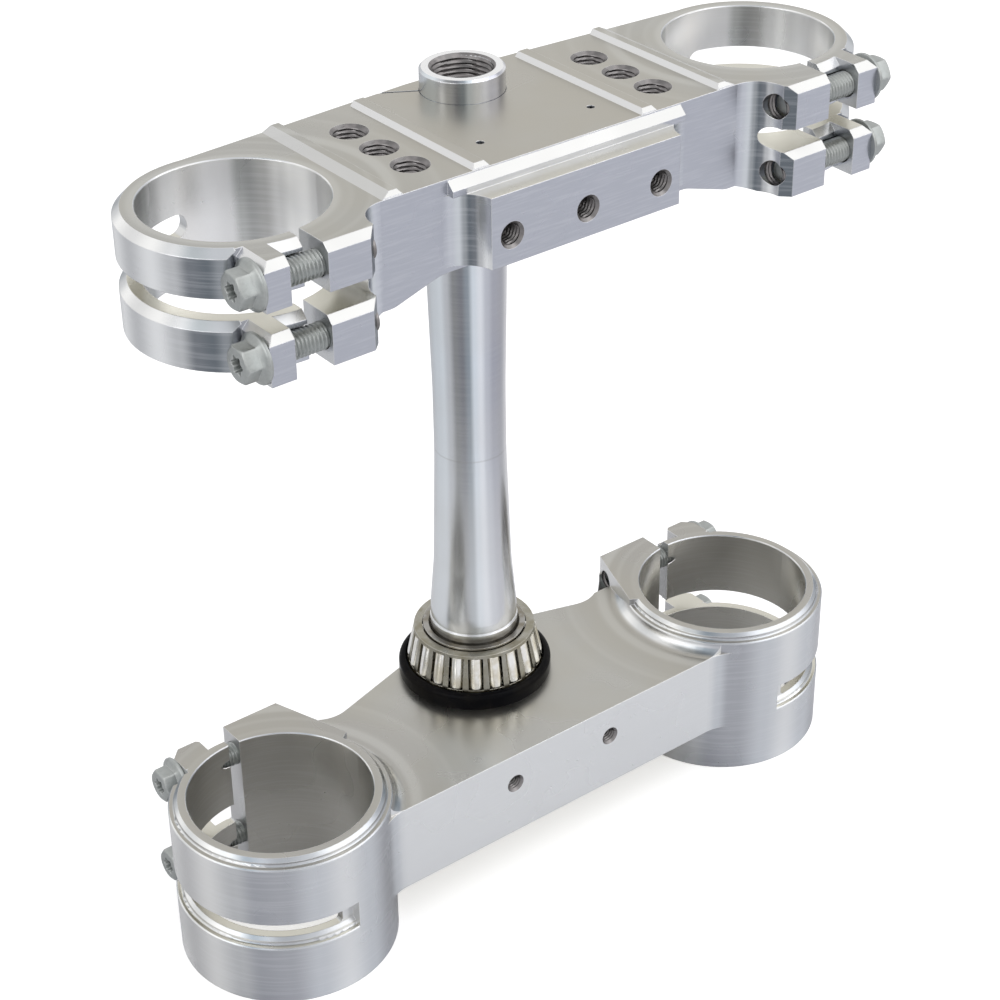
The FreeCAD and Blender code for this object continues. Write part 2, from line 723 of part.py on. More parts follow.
# Three threaded holes a side for handlebar mounts, and one gauge hole
bar_holes = sketch(upper, "bar_holes", "XY_Plane", 0, 0, upper_top)
circle(bar_holes, bar_hole_x, -bar_hole_y, bar_hole)
circle(bar_holes, bar_hole_x, bar_hole_pitch - bar_hole_y, bar_hole)
circle(bar_holes, bar_hole_x, -bar_hole_pitch - bar_hole_y, bar_hole)
tapped_holes(upper, bar_holes, bar_hole, bar_hole + hole_lead)
small_holes = sketch(upper, "small_holes", "XY_Plane", 0, 0, upper_top)
circle(small_holes, small_hole_x, -small_hole_y, small_hole)
cut(upper, small_holes, small_hole_depth)

# Pinch bolt holes: plain in the moving ear, threaded in the fixed ear
pinch_high = upper_top - pinch_drop
pinch_low = pinch_high - pinch_pitch
tapped = sketch(upper, "pinch_threads", "YZ_Plane", 0, 0, ear_gap_inner)
circle(tapped, -pinch_y, pinch_high, bolt_radius + thread_clear)
circle(tapped, -pinch_y, pinch_low, bolt_radius + thread_clear)
cut(upper, tapped, ear_gap_inner - ear_inner + past)
plain = sketch(upper, "pinch_holes", "YZ_Plane", 0, 0, ear_gap_inner + past / 2)
circle(plain, -pinch_y, pinch_high, bolt_radius + bolt_clear)
circle(plain, -pinch_y, pinch_low, bolt_radius + bolt_clear)
cut(upper, plain, ear_outer - ear_gap_inner, reverse=True)

mirror_whole(upper)

# Front boss: a raised strip along the top edge, a ledge, and a face with three threaded holes
ledge = upper_top - ledge_drop
strip = sketch(upper, "strip", "YZ_Plane")
outline(strip, [
    (-upper_front + boss_root / 2, upper_top),
    (strip_bevel - strip_out - upper_front, upper_top),
    (-strip_out - upper_front, upper_top - strip_bevel),
    (-strip_out - upper_front, ledge),
    (-upper_front + boss_root / 2, ledge),
])
pad(upper, strip, strip_half * 2, symmetric=True)
boss_reach = boss_front - upper_front
boss_side = root(boss_root * boss_root - (boss_root - boss_reach) * (boss_root - boss_reach))
boss = sketch(upper, "boss", "XY_Plane", 0, 0, ledge)
outline(boss, [
    (boss_half + boss_side, boss_root / 2 - upper_front),
    (-boss_half - boss_side, boss_root / 2 - upper_front),
    (-boss_half - boss_side, -upper_front),
    Bend(boss_root, False),
    (-boss_half, -boss_front),
    (boss_half, -boss_front),
    Bend(boss_root, False),
    (boss_half + boss_side, -upper_front),
])
pad(upper, boss, boss_height, reverse=True)
boss_holes = sketch(upper, "boss_holes", "XZ_Plane", 0, 0, boss_front)
circle(boss_holes, 0, upper_top - boss_hole_drop, boss_hole)
circle(boss_holes, boss_hole_pitch, upper_top - boss_hole_drop, boss_hole)
circle(boss_holes, -boss_hole_pitch, upper_top - boss_hole_drop, boss_hole)
tapped_holes(upper, boss_holes, boss_hole, boss_hole + hole_lead, boss_hole_depth)

# Stem bore, with a slit to the back wall that one bolt closes
stem_pinch_seat = back_corner_y - (pinch_x - back_flat) * tangent(back_rake) - stem_pinch_sunk
stem_bore = circle(sketch(upper, "stem_bore", "XY_Plane", 0, 0, upper_top), 0, 0, stem_radius + stem_clear)
cut(upper, stem_bore)
slit = sketch(upper, "stem_slit", "XY_Plane", 0, 0, upper_top, slit_angle)
outline(slit, [
    (stem_radius, -slit_width / 2),
    (upper_back * 2, -slit_width / 2),
    (upper_back * 2, slit_width / 2),
    (stem_radius, slit_width / 2),
])
cut(upper, slit)
bolt_hole = sketch(upper, "stem_pinch_hole", "XZ_Plane", 0, 0, -stem_pinch_seat)
circle(bolt_hole, -pinch_x, slot_middle, stem_pinch_radius + thread_clear)
cut(upper, bolt_hole, stem_pinch_length + past, reverse=True)
bolt_seat = sketch(upper, "stem_pinch_seat", "XZ_Plane", 0, 0, -stem_pinch_seat)
circle(bolt_seat, -pinch_x, slot_middle, stem_pinch_head + bolt_clear)
cut(upper, bolt_seat)


def fork_bores(body, radius, bottom, middle, top):
    """Bore both rings from each end to the middle of the slot, with a small lead at every mouth."""
    for side in (1, -1):
        for name, mouth, outwards in (("low", bottom, -1), ("high", top, 1)):
            section = sketch(body, "bore_" + name, "XZ_Plane", fork_spread * side, 0, fork_offset)
            outline(section, [
                (0, middle),
                (radius, middle),
                (radius, mouth - bore_lead * outwards),
                (radius + bore_lead + past, mouth + past * outwards),
                (0, mouth + past * outwards),
            ])
            turned(body, "Groove", section, refine=False)


fork_bores(upper, upper_bore, upper_bottom, slot_middle, upper_top)

# Lower clamp: the arm's top face is the plane that the bearing's seal stands on

lower_outer = lower_bore + lower_wall
lower_top = lower_rise
lower_bottom = lower_rise - lower_height
lower_slot_high = lower_top - lower_slot_drop + slot_height / 2
lower_slot_low = lower_top - lower_slot_drop - slot_height / 2
rim_inner = lower_bore + rim_flat
rim_middle = rim_inner + rim_slope
rim_outer = lower_outer - rim_lip

lower = new_body("lower_clamp")

# Hollow foot round the inboard side of the ring, trimmed at the arm's front face
foot = sketch(lower, "foot", "XZ_Plane", fork_spread, 0, fork_offset)
outline(foot, [
    (-lower_bore, -arm_thickness / 2),
    (-lower_bore, foot_height),
    (-lower_outer, foot_height),
    Bend(foot_round, False),
    (-lower_outer - foot_width, 0),
    (-lower_outer - foot_width, -arm_thickness / 2),
])
turned(lower, "Revolution", foot, foot_turn)
trim = sketch(lower, "foot_trim", "XY_Plane", 0, 0, foot_height)
outline(trim, [
    (0, -arm_front),
    (0, fork_y - lower_outer - foot_width - past),
    (fork_spread, fork_y - lower_outer - foot_width - past),
    (fork_spread, -arm_front),
])
cut(lower, trim)


# Fork ring: moulded rims at the top and under the slot
def rim_down(level):
    """The moulding from the flat rim outwards, seen in section."""
    return [
        (rim_inner, level),
        (rim_middle, level - rim_slope),
        (rim_middle, level - rim_slope - rim_step),
        Bend(rim_cove, True),
        (rim_middle + rim_cove, level - rim_slope - rim_step - rim_cove),
        (rim_outer, level - rim_slope - rim_step - rim_cove),
        (lower_outer, level - rim_slope - rim_step - rim_cove - rim_lip),
    ]


ring = sketch(lower, "ring", "XZ_Plane", fork_spread, 0, fork_offset)
outline(ring, [(lower_bore - past, lower_top)] + rim_down(lower_top) + [
    (lower_outer, lower_slot_high),
    (rim_inner, lower_slot_high),
] + rim_down(lower_slot_low) + [
    (lower_outer, lower_bottom),
    (lower_bore - past, lower_bottom),
])
turned(lower, "Revolution", ring)

# Full wall on the inboard side, where there is no slot
wall = sketch(lower, "inboard_wall", "XZ_Plane", fork_spread, 0, fork_offset)
outline(wall, [
    (-lower_bore + past, lower_slot_high + past),
    (-lower_outer, lower_slot_high + past),
    (-lower_outer, lower_slot_low - past * 2),
    (-lower_bore + past, lower_slot_low - past * 2),
])
turned(lower, "Revolution", wall, 180 - rim_turn * 2)

# Arm from the steering axis to the ring
boss_y = root(stem_boss * stem_boss - arm_back_start * arm_back_start)
ear_touch_x = fork_spread - lower_outer * cosine(lower_ear_rake)
ear_touch_y = fork_y + lower_outer * sine(lower_ear_rake)
ear_corner_x = ear_touch_x + (lower_ear_back - ear_touch_y) * tangent(lower_ear_rake)
in_wall = lower_bore + lower_wall / 2
front_reach = arm_front - fork_offset
arm = sketch(lower, "arm", "XY_Plane")
outline(arm, [
    (0, -arm_front),
    (fork_spread - root(in_wall * in_wall - front_reach * front_reach), -arm_front),
    (fork_spread - lower_bore / 2, fork_y),
    (ear_corner_x + past, lower_ear_back - past),
    (ear_corner_x, lower_ear_back),
    (arm_waist_x, arm_waist_y, arm_waist_radius),
    (arm_back_start, boss_y),
    Bend(stem_boss, True),
    (0, stem_boss),
])
pad(lower, arm, arm_thickness, reverse=True)

# Web that blends the arm's front face into the ring
web_reach = lower_outer + arm_web
web_y = -arm_front - arm_web
web_x = fork_spread - root(web_reach * web_reach - (web_y - fork_y) * (web_y - fork_y))
web = sketch(lower, "web", "XY_Plane")
outline(web, [
    (web_x, -arm_front),
    Bend(arm_web, False),
    (fork_spread + (web_x - fork_spread) * lower_outer / web_reach,
     fork_y + (web_y - fork_y) * lower_outer / web_reach),
    (fork_spread - lower_bore / 2, -arm_front + lower_wall),
    (web_x, -arm_front + lower_wall),
])
pad(lower, web, arm_thickness, reverse=True)

# Fixed ear behind the ring, its inboard face tangent to the ring
fixed = sketch(lower, "fixed_ear", "XY_Plane", 0, 0, lower_top)
outline(fixed, [
    (ear_touch_x, ear_touch_y),
    (fork_spread - lower_bore / 2, fork_y),
    (lower_gap_inner, fork_y),
    (lower_gap_inner, lower_ear_back),
    (ear_corner_x, lower_ear_back),
])
pad(lower, fixed, lower_height, reverse=True)

# Moving ears, one above the slot and one below it, left thick where their seats are milled
moving_outer = moving_inner + moving_thickness
seat_y = lower_pinch_y - flange_radius - spot_clear
lower_far = fork_spread + lower_outer + past
moving = sketch(lower, "moving_ears", "XY_Plane", 0, 0, lower_top)
outline(moving, [
    (moving_inner, fork_y + lower_bore - past),
    (moving_outer, fork_y + lower_bore - past),
    (moving_outer, seat_y),
    (moving_outer + past, seat_y),
    (moving_outer + past, moving_back),
    (moving_inner + moving_corner, moving_back),
    (moving_inner, moving_back - moving_corner),
])
pad(lower, moving, lower_height, reverse=True)
seats = sketch(lower, "bolt_seats", "XY_Plane", 0, 0, lower_top)
outline(seats, [
    (moving_outer, seat_y),
    (moving_outer, moving_back - moving_slant),
    (moving_outer - moving_slant - past, moving_back + past),
    (lower_far, moving_back + past),
    (lower_far, seat_y),
])
cut(lower, seats)

# Slot across the outboard half, and the slit through the back wall
slot = sketch(lower, "slot", "XZ_Plane", 0, 0, fork_offset)
outline(slot, [
    (fork_spread, lower_slot_low, lower_slot_round),
    (lower_far, lower_slot_low),
    (lower_far, lower_slot_high),
    (fork_spread, lower_slot_high, lower_slot_round),
])
cut(lower, slot, both=True)
slit = sketch(lower, "slit", "XY_Plane", 0, 0, lower_top)
outline(slit, [
    (lower_gap_inner, fork_y),
    (lower_gap_inner + lower_slit, fork_y),
    (lower_gap_inner + lower_slit, lower_ear_back + past),
    (lower_gap_inner, lower_ear_back + past),
])
cut(lower, slit)

# Pinch bolt holes: threaded in the fixed ear, plain in the moving ears
lower_pinch_high = lower_top - lower_pinch_drop
lower_pinch_low = lower_pinch_high - lower_pinch_pitch
tapped = sketch(lower, "pinch_threads", "YZ_Plane", 0, 0, lower_gap_inner)
plain = sketch(lower, "pinch_holes", "YZ_Plane", 0, 0, lower_gap_inner + lower_slit / 2)
for level in (lower_pinch_high, lower_pinch_low):
    circle(tapped, lower_pinch_y, level, bolt_radius + thread_clear)
    circle(plain, lower_pinch_y, level, bolt_radius + bolt_clear)
cut(lower, tapped, lower_gap_inner - ear_touch_x + past)
cut(lower, plain, moving_outer - lower_gap_inner, reverse=True)

mirror_whole(lower)

# Two threaded holes in the arm's front face
front_holes = sketch(lower, "front_holes", "XZ_Plane", 0, 0, arm_front)
circle(front_holes, front_hole_x, -front_hole_drop, front_hole)
circle(front_holes, -front_hole_x, -front_hole_drop, front_hole)
tapped_holes(lower, front_holes, front_hole, front_hole + hole_lead, front_hole_depth)

# Steering stem: a waisted tube, threaded inside its top end

stem = new_body("steering_stem")
clamp_foot = upper_under - past
profile = sketch(stem, "profile", "XZ_Plane")
outline(profile, [
    (stem_hole, -arm_thickness - stem_bottom),
    (stem_seat - stem_lead, -arm_thickness - stem_bottom),
    (stem_seat, -arm_thickness - stem_bottom + stem_lead),
    (stem_seat, stem_seat_top),
    (stem_seat - stem_relief, stem_seat_top),
    (stem_seat - stem_relief, stem_seat_top + stem_relief * 2),
    (stem_shoulder, stem_seat_top + stem_relief * 2),
    (stem_shoulder, stem_shoulder_level, stem_seat * 2),
    (stem_flare, stem_flare_level, stem_seat * 4),
    (stem_waist, stem_waist_low, stem_seat * 20),
    (stem_waist, stem_waist_high, stem_seat * 20),
    (stem_neck, stem_taper_end, stem_seat * 10),
    (stem_neck, clamp_foot),
    (stem_radius, clamp_foot + stem_radius - stem_neck),
    (stem_radius, stem_top - stem_lead),
    (stem_radius - stem_lead, stem_top),
    (stem_thread + stem_lead, stem_top),
    (stem_thread, stem_top - stem_lead),
    (stem_thread, stem_top - stem_thread_depth),
    (stem_hole, stem_top - stem_thread_depth - stem_lead),
])
turned(stem, "Revolution", profile)

hub = circle(sketch(lower, "stem_hub", "XY_Plane"), 0, 0, stem_seat + stem_seat_clear)
cut(lower, hub)
fork_bores(lower, lower_bore, lower_bottom, lower_top - lower_slot_drop, lower_top)

# Dust seal: a rubber cup under the bearing

seal = new_body("dust_seal")
profile = sketch(seal, "profile", "XZ_Plane")
outline(profile, [
    (stem_seat + stem_seat_clear, 0),
    (seal_radius, 0),
    (seal_radius, seal_height, seal_round),
    (seal_inner, seal_height),
    (seal_inner, seal_floor),
    (stem_seat + stem_seat_clear, seal_floor),
])
turned(seal, "Revolution", profile)

# Tapered roller bearing: cone, rollers on a common apex, and cage

cone_bottom = seal_floor
cone_top = seal_floor + cone_height
axis_angle = race_angle + roller_half_angle
race_low = (apex - seal_floor - large_rib_height) * tangent(race_angle)
race_high = (apex - cone_top + small_rib_height) * tangent(race_angle)

cone = new_body("bearing_cone")
profile = sketch(cone, "profile", "XZ_Plane")
outline(profile, [
    (stem_seat + stem_seat_clear, cone_bottom),
    (large_rib, cone_bottom),
    (large_rib, cone_bottom + large_rib_height),
    (race_low, cone_bottom + large_rib_height),
    (race_high, cone_top - small_rib_height),
    (small_rib, cone_top - small_rib_height),
    (small_rib, cone_top),
    (stem_seat + stem_seat_clear + stem_lead, cone_top),
    (stem_seat + stem_seat_clear, cone_top - stem_lead),
])
turned(cone, "Revolution", profile)

cage = new_body("roller_cage")
profile = sketch(cage, "profile", "XZ_Plane")
outline(profile, [
    (cage_foot, cage_bottom),
    (cage_low, cage_bottom),
    (cage_high, cage_top),
    (cage_eye, cage_top),
    (cage_eye, cage_top - cage_wall),
    (cage_high - cage_wall, cage_top - cage_wall),
    (cage_low - cage_wall, cage_bottom + cage_wall),
    (cage_foot, cage_bottom + cage_wall),
])
turned(cage, "Revolution", profile)
window = sketch(cage, "window", "XZ_Plane", 0, 0, cage_eye)
outline(window, [
    (-window_width / 2, window_low),
    (window_width / 2, window_low),
    (window_width / 2, window_high),
    (-window_width / 2, window_high),
])
cut(cage, window, reverse=True)
before = solid_volume(cage)
windows = cage.newObject("PartDesign::PolarPattern", "roller_cage_windows")
windows.Originals = [cage.Tip]
windows.Axis = (origin_plane(cage, "Z_Axis"), [""])
windows.setExpression("Occurrences", roller_count.text)
cage.Tip = windows
must_shrink(cage, before, windows)

reach = (apex - roller_level) / cosine(axis_angle)
for number in range(int(roller_count.value)):
    turn = as_length(number * 360) / roller_count
    low = reach + roller_length / 2
    high = reach - roller_length / 2
    roller = doc.addObject("Part::Cone", "roller_%02d" % (number + 1))
    roller.Label = "roller_%02d" % (number + 1)
    bind(roller, "Radius1", low * tangent(roller_half_angle) - roller_clear)
    bind(roller, "Radius2", high * tangent(roller_half_angle) - roller_clear)
    bind(roller, "Height", roller_length)
    heading = turn + 270
    roller.Placement.Rotation = FreeCAD.Rotation(FreeCAD.Vector(0, 1, 0), axis_angle.value)
    bind(roller, "Placement.Base.x", low * sine(axis_angle) * cosine(heading))
    bind(roller, "Placement.Base.y", low * sine(axis_angle) * sine(heading))
    bind(roller, "Placement.Base.z", apex - low * cosine(axis_angle))
    bind(roller, "Placement.Rotation.Axis.x", -sine(heading))
    bind(roller, "Placement.Rotation.Axis.y", cosine(heading))
    bind(roller, "Placement.Rotation.Axis.z", 0)
    bind(roller, "Placement.Rotation.Angle", -axis_angle)


# Pinch bolts: flanged hexagon heads with a six-lobe recess
def six_lobe_recess(bolt, top, core, lobe, depth):
    """A round pocket and six lobes round it, in the face at the given height."""
    pocket = circle(sketch(bolt, "recess", "XY_Plane", 0, 0, top), 0, 0, core)
    cut(bolt, pocket, depth)
    lobes = circle(sketch(bolt, "lobe", "XY_Plane", 0, 0, top), core, 0, lobe)
    first = cut(bolt, lobes, depth)
    pattern = bolt.newObject("PartDesign::PolarPattern", bolt.Label + "_lobes")
    pattern.Originals = [first]
    pattern.Axis = (origin_plane(bolt, "Z_Axis"), [""])
    pattern.Occurrences = 6
    bolt.Tip = pattern


def place(body, x, y, z, rotation):
    body.Placement = FreeCAD.Placement(FreeCAD.Vector(0, 0, 0), rotation)
    bind(body, "Placement.Base.x", x)
    bind(body, "Placement.Base.y", y)
    bind(body, "Placement.Base.z", z)


def flange_bolt(label, length, x, y, z, side):
    """A bolt whose head points outboard: side is 1 to the right and -1 to the left."""
    bolt = new_body(label)
    section = sketch(bolt, "section", "XZ_Plane")
    outline(section, [
        (0, -length),
        (bolt_radius - bolt_lead, -length),
        (bolt_radius, -length + bolt_lead),
        (bolt_radius, 0),
        (flange_radius, 0),
        (flange_radius, flange_height),
        (hex_radius, flange_height + flange_slope),
        (0, flange_height + flange_slope),
    ])
    turned(bolt, "Revolution", section)
    hexagon = sketch(bolt, "hexagon", "XY_Plane")
    outline(hexagon, [
        (hex_radius * cosine(as_length(60 * corner)), hex_radius * sine(as_length(60 * corner)))
        for corner in range(6)
    ])
    pad(bolt, hexagon, head_height)
    crown = sketch(bolt, "crown", "XZ_Plane")
    outline(crown, [
        (hex_radius - bolt_lead, head_height),
        (hex_radius + past, head_height - (bolt_lead + past) * tangent(crown_slope)),
        (hex_radius + past, head_height),
    ])
    turned(bolt, "Groove", crown)
    six_lobe_recess(bolt, head_height, recess_radius, lobe_radius, recess_depth)
    place(bolt, x, y, z, FreeCAD.Rotation(FreeCAD.Vector(0, 1, 0), 90 * side))
    return bolt


front_bolt_length = ear_outer - ear_gap_inner + front_grip
back_bolt_length = moving_outer - lower_gap_inner + back_grip
for name, side in (("right", 1), ("left", -1)):
    front_x = side * ear_outer
    back_x = side * moving_outer
    flange_bolt("upper_pinch_bolt_high_" + name, front_bolt_length, front_x, -pinch_y, pinch_high, side)
    flange_bolt("upper_pinch_bolt_low_" + name, front_bolt_length, front_x, -pinch_y, pinch_low, side)
    flange_bolt("lower_pinch_bolt_high_" + name, back_bolt_length, back_x, lower_pinch_y, lower_pinch_high, side)
    flange_bolt("lower_pinch_bolt_low_" + name, back_bolt_length, back_x, lower_pinch_y, lower_pinch_low, side)

# Stem pinch bolt in the back wall of the upper clamp
bolt = new_body("stem_pinch_bolt")
section = sketch(bolt, "section", "XZ_Plane")
outline(section, [
    (0, -stem_pinch_length),
    (stem_pinch_radius - bolt_lead, -stem_pinch_length),
    (stem_pinch_radius, -stem_pinch_length + bolt_lead),
    (stem_pinch_radius, 0),
    (stem_pinch_head, 0),
    (stem_pinch_head, stem_pinch_head_height - bolt_lead / 2),
    (stem_pinch_head - bolt_lead / 2, stem_pinch_head_height),
    (0, stem_pinch_head_height),
])
turned(bolt, "Revolution", section)
six_lobe_recess(bolt, stem_pinch_head_height, recess_radius, lobe_radius, small_recess_depth)
place(bolt, -pinch_x, stem_pinch_seat, slot_middle, FreeCAD.Rotation(FreeCAD.Vector(1, 0, 0), -90))

# Check every object, then write one file for each piece

doc.recompute()
for thing in doc.Objects:
    if "Invalid" in thing.State or "Error" in thing.State:
        raise RuntimeError(thing.Name + " failed: " + thing.getStatusString())
pieces = [thing for thing in doc.Objects if thing.TypeId in ("PartDesign::Body", "Part::Cone")]
for piece in pieces:
    if piece.Shape.isNull() or not piece.Shape.isValid() or len(piece.Shape.Solids) != 1:
        raise RuntimeError(piece.Label + " is not one valid solid")
os.makedirs("parts", exist_ok=True)
for piece in pieces:
    piece.Shape.exportStep("parts/%s.step" % piece.Label)
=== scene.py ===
import math

import bpy
from mathutils import Matrix, Vector


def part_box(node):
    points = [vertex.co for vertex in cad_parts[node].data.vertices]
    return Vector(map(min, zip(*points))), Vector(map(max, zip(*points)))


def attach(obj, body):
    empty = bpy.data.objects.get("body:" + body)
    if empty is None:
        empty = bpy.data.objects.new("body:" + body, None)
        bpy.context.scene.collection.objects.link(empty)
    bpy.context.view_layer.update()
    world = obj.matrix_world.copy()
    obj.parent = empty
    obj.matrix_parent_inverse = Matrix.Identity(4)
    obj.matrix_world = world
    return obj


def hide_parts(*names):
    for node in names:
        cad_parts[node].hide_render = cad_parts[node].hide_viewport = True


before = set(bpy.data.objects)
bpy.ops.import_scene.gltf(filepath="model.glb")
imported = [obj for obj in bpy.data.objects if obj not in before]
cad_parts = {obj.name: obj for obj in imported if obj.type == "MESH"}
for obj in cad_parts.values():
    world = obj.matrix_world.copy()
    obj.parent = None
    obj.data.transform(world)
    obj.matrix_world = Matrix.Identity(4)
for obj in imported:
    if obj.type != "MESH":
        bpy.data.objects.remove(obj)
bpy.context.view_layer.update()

# Lower clamp. One piece of aluminium, milled from the solid: an arm round the stem
# and a split ring at each end. Clear anodised, so satin, with fine cutter lines that
# run along the arm and curl round the rings. Its colour is graded by which way each
# face looks, as painted reflections, with painted highlights on its bevels and edges.

FORK_X = 0.0955
FORK_Y = -0.0226
LOWER_BORE = 0.030
LOWER_LEDGES = -0.008
BEVEL_Z = 0.707
OVER_BORE = 0.00025
ARC_DEPTH = 0.3


def put(tree, kind, **values):
    """A node of a kind in a tree, with the values or links of its inputs by name or number."""
    node = tree.nodes.new(kind)
    for key, value in values.items():
        if key.startswith("in_"):
            key = key[3:]
            socket = node.inputs[int(key)] if key.isdigit() else node.inputs[key.replace("_", " ")]
            if isinstance(value, bpy.types.NodeSocket):
                tree.links.new(value, socket)
            else:
                socket.default_value = value
        else:
            setattr(node, key, value)
    return node


def sums(tree, operation, first, second=0.0, third=0.0):
    """A number worked out from up to three others."""
    made = put(tree, "ShaderNodeMath", operation=operation, in_0=first, in_1=second, in_2=third)
    return made.outputs[0]


def spread(tree, value, low, high, to_low=0.0, to_high=1.0):
    """A value taken smoothly from one range to another."""
    made = put(tree, "ShaderNodeMapRange", interpolation_type="SMOOTHSTEP", in_0=value,
               in_1=low, in_2=high, in_3=to_low, in_4=to_high)
    return made.outputs[0]


def tint(tree, factor, first, second):
    """One colour over another, by a factor."""
    made = put(tree, "ShaderNodeMix", data_type="RGBA", in_0=factor, in_6=first, in_7=second)
    return made.outputs[2]


def wash(tree, mask, strength, under, over):
    """One colour over another where a mask is, by no more than a given share."""
    return tint(tree, sums(tree, "MULTIPLY", mask, strength), under, over)


def mottling(tree, scale, detail, stretch=(1.0, 1.0, 1.0)):
    """Noise over the piece's own metres, stretched along an axis where its number is small."""
    place = put(tree, "ShaderNodeTexCoord").outputs["Object"]
    grown = put(tree, "ShaderNodeVectorMath", operation="MULTIPLY", in_0=place, in_1=stretch)
    made = put(tree, "ShaderNodeTexNoise", in_Vector=grown.outputs[0], in_Scale=scale,
               in_Detail=detail, in_Roughness=0.6)
    return made.outputs["Fac"]


def start_group(name, inputs, numbers, vectors=()):
    """An empty node group and its inner tree's ends: numbers in, numbers and vectors out."""
    tree = bpy.data.node_groups.new(name, "ShaderNodeTree")
    for label, start in inputs:
        made = tree.interface.new_socket(name=label, in_out="INPUT", socket_type="NodeSocketFloat")
        made.default_value = start
    for label in numbers:
        tree.interface.new_socket(name=label, in_out="OUTPUT", socket_type="NodeSocketFloat")
    for label in vectors:
        tree.interface.new_socket(name=label, in_out="OUTPUT", socket_type="NodeSocketVector")
    return tree, tree.nodes.new("NodeGroupInput"), tree.nodes.new("NodeGroupOutput")


# Which way a surface faces: how level it is, whether it slants like a bevel, how far it
# turns from side to front (alike on all four sides), and where it faces all the way round.
# The finishes paint reflections and highlights into their colour by these.
facing, _, result = start_group("facing", [], ["Level", "Turn", "Around", "Bevel"])
normal = put(facing, "ShaderNodeTexCoord").outputs["Normal"]
parts = put(facing, "ShaderNodeSeparateXYZ", in_0=normal)
lean_x, lean_y, lean_z = [sums(facing, "ABSOLUTE", part) for part in parts.outputs]
turned = sums(facing, "ARCTAN2", lean_y, lean_x)
around = sums(facing, "ARCTAN2", parts.outputs[1], parts.outputs[0])
off_bevel = sums(facing, "ABSOLUTE", sums(facing, "SUBTRACT", lean_z, BEVEL_Z))
facing.links.new(spread(facing, lean_z, 0.80, 0.97), result.inputs["Level"])
facing.links.new(sums(facing, "DIVIDE", turned, math.pi / 2), result.inputs["Turn"])
facing.links.new(sums(facing, "MULTIPLY_ADD", around, 0.5 / math.pi, 0.5), result.inputs["Around"])
facing.links.new(spread(facing, off_bevel, 0.28, 0.12), result.inputs["Bevel"])

# Cutter lines: along X on flat upright faces, level round curved walls, and in arcs about the
# rings on level faces; and with them what lies in a bore, and how far out and up a place is
cutting, ends, result = start_group(
    "cutter_lines", [("Level", 0.0), ("Bore", LOWER_BORE), ("Flat", 1.0)],
    ["Height", "Lines", "Sweeps", "Bored", "Outwards", "Height above"])
place = put(cutting, "ShaderNodeTexCoord").outputs["Object"]
parts = put(cutting, "ShaderNodeSeparateXYZ", in_0=place)
off_middle = sums(cutting, "ABSOLUTE", parts.outputs[0])
across = sums(cutting, "SUBTRACT", off_middle, FORK_X)
along = sums(cutting, "SUBTRACT", parts.outputs[1], FORK_Y)
radius = sums(cutting, "SQRT", sums(cutting, "ADD", sums(cutting, "MULTIPLY", across, across),
                                    sums(cutting, "MULTIPLY", along, along)))
from_fork = put(cutting, "ShaderNodeCombineXYZ", in_0=radius).outputs[0]
arc_noise = put(cutting, "ShaderNodeTexNoise", in_Vector=from_fork, in_Scale=900.0,
                in_Detail=2.0, in_Roughness=0.6).outputs["Fac"]
arc_patches = spread(cutting, mottling(cutting, 22.0, 1.0), 0.50, 0.72)
sweep_noise = put(cutting, "ShaderNodeTexNoise", in_Vector=from_fork, in_Scale=130.0,
                  in_Detail=1.0, in_Roughness=0.5).outputs["Fac"]
near_ring = spread(cutting, radius, 0.075, 0.036)
sweeps = sums(cutting, "MULTIPLY", spread(cutting, sweep_noise, 0.45, 0.62), near_ring)
straight = mottling(cutting, 1500.0, 2.0, (0.05, 1.0, 1.0))
upright = sums(cutting, "SUBTRACT", 1.0, ends.outputs["Level"])
arcs = sums(cutting, "MULTIPLY", sums(cutting, "MULTIPLY", arc_noise, arc_patches), ARC_DEPTH)
flat_part = sums(cutting, "MULTIPLY", arcs, ends.outputs["Level"])
rings = mottling(cutting, 1200.0, 1.0, (0.03, 0.03, 1.0))
walls = put(cutting, "ShaderNodeMix", in_0=ends.outputs["Flat"], in_2=rings, in_3=straight).outputs[0]
upright_part = sums(cutting, "MULTIPLY", walls, upright)
height = sums(cutting, "ADD", flat_part, upright_part)
cutting.links.new(height, result.inputs["Height"])
cutting.links.new(upright_part, result.inputs["Lines"])
cutting.links.new(sums(cutting, "MULTIPLY", sweeps, ends.outputs["Level"]), result.inputs["Sweeps"])
bored = sums(cutting, "LESS_THAN", radius, sums(cutting, "ADD", ends.outputs["Bore"], OVER_BORE))
cutting.links.new(sums(cutting, "MULTIPLY", bored, upright), result.inputs["Bored"])
cutting.links.new(spread(cutting, off_middle, 0.018, 0.072), result.inputs["Outwards"])
cutting.links.new(parts.outputs[2], result.inputs["Height above"])

# Rounded edges: a narrow rounding that catches light, and a mask of where it lies, along which the finishes
# paint a highlight
edges, ends, result = start_group("edges", [("Radius", 0.0004)], ["Mask"], ["Normal"])
rounded = put(edges, "ShaderNodeBevel", samples=4, in_Radius=ends.outputs["Radius"]).outputs[0]
true_normal = put(edges, "ShaderNodeNewGeometry").outputs["True Normal"]
agree = put(edges, "ShaderNodeVectorMath", operation="DOT_PRODUCT", in_0=rounded, in_1=true_normal)
edges.links.new(rounded, result.inputs["Normal"])
edges.links.new(spread(edges, agree.outputs["Value"], 0.995, 0.90), result.inputs["Mask"])

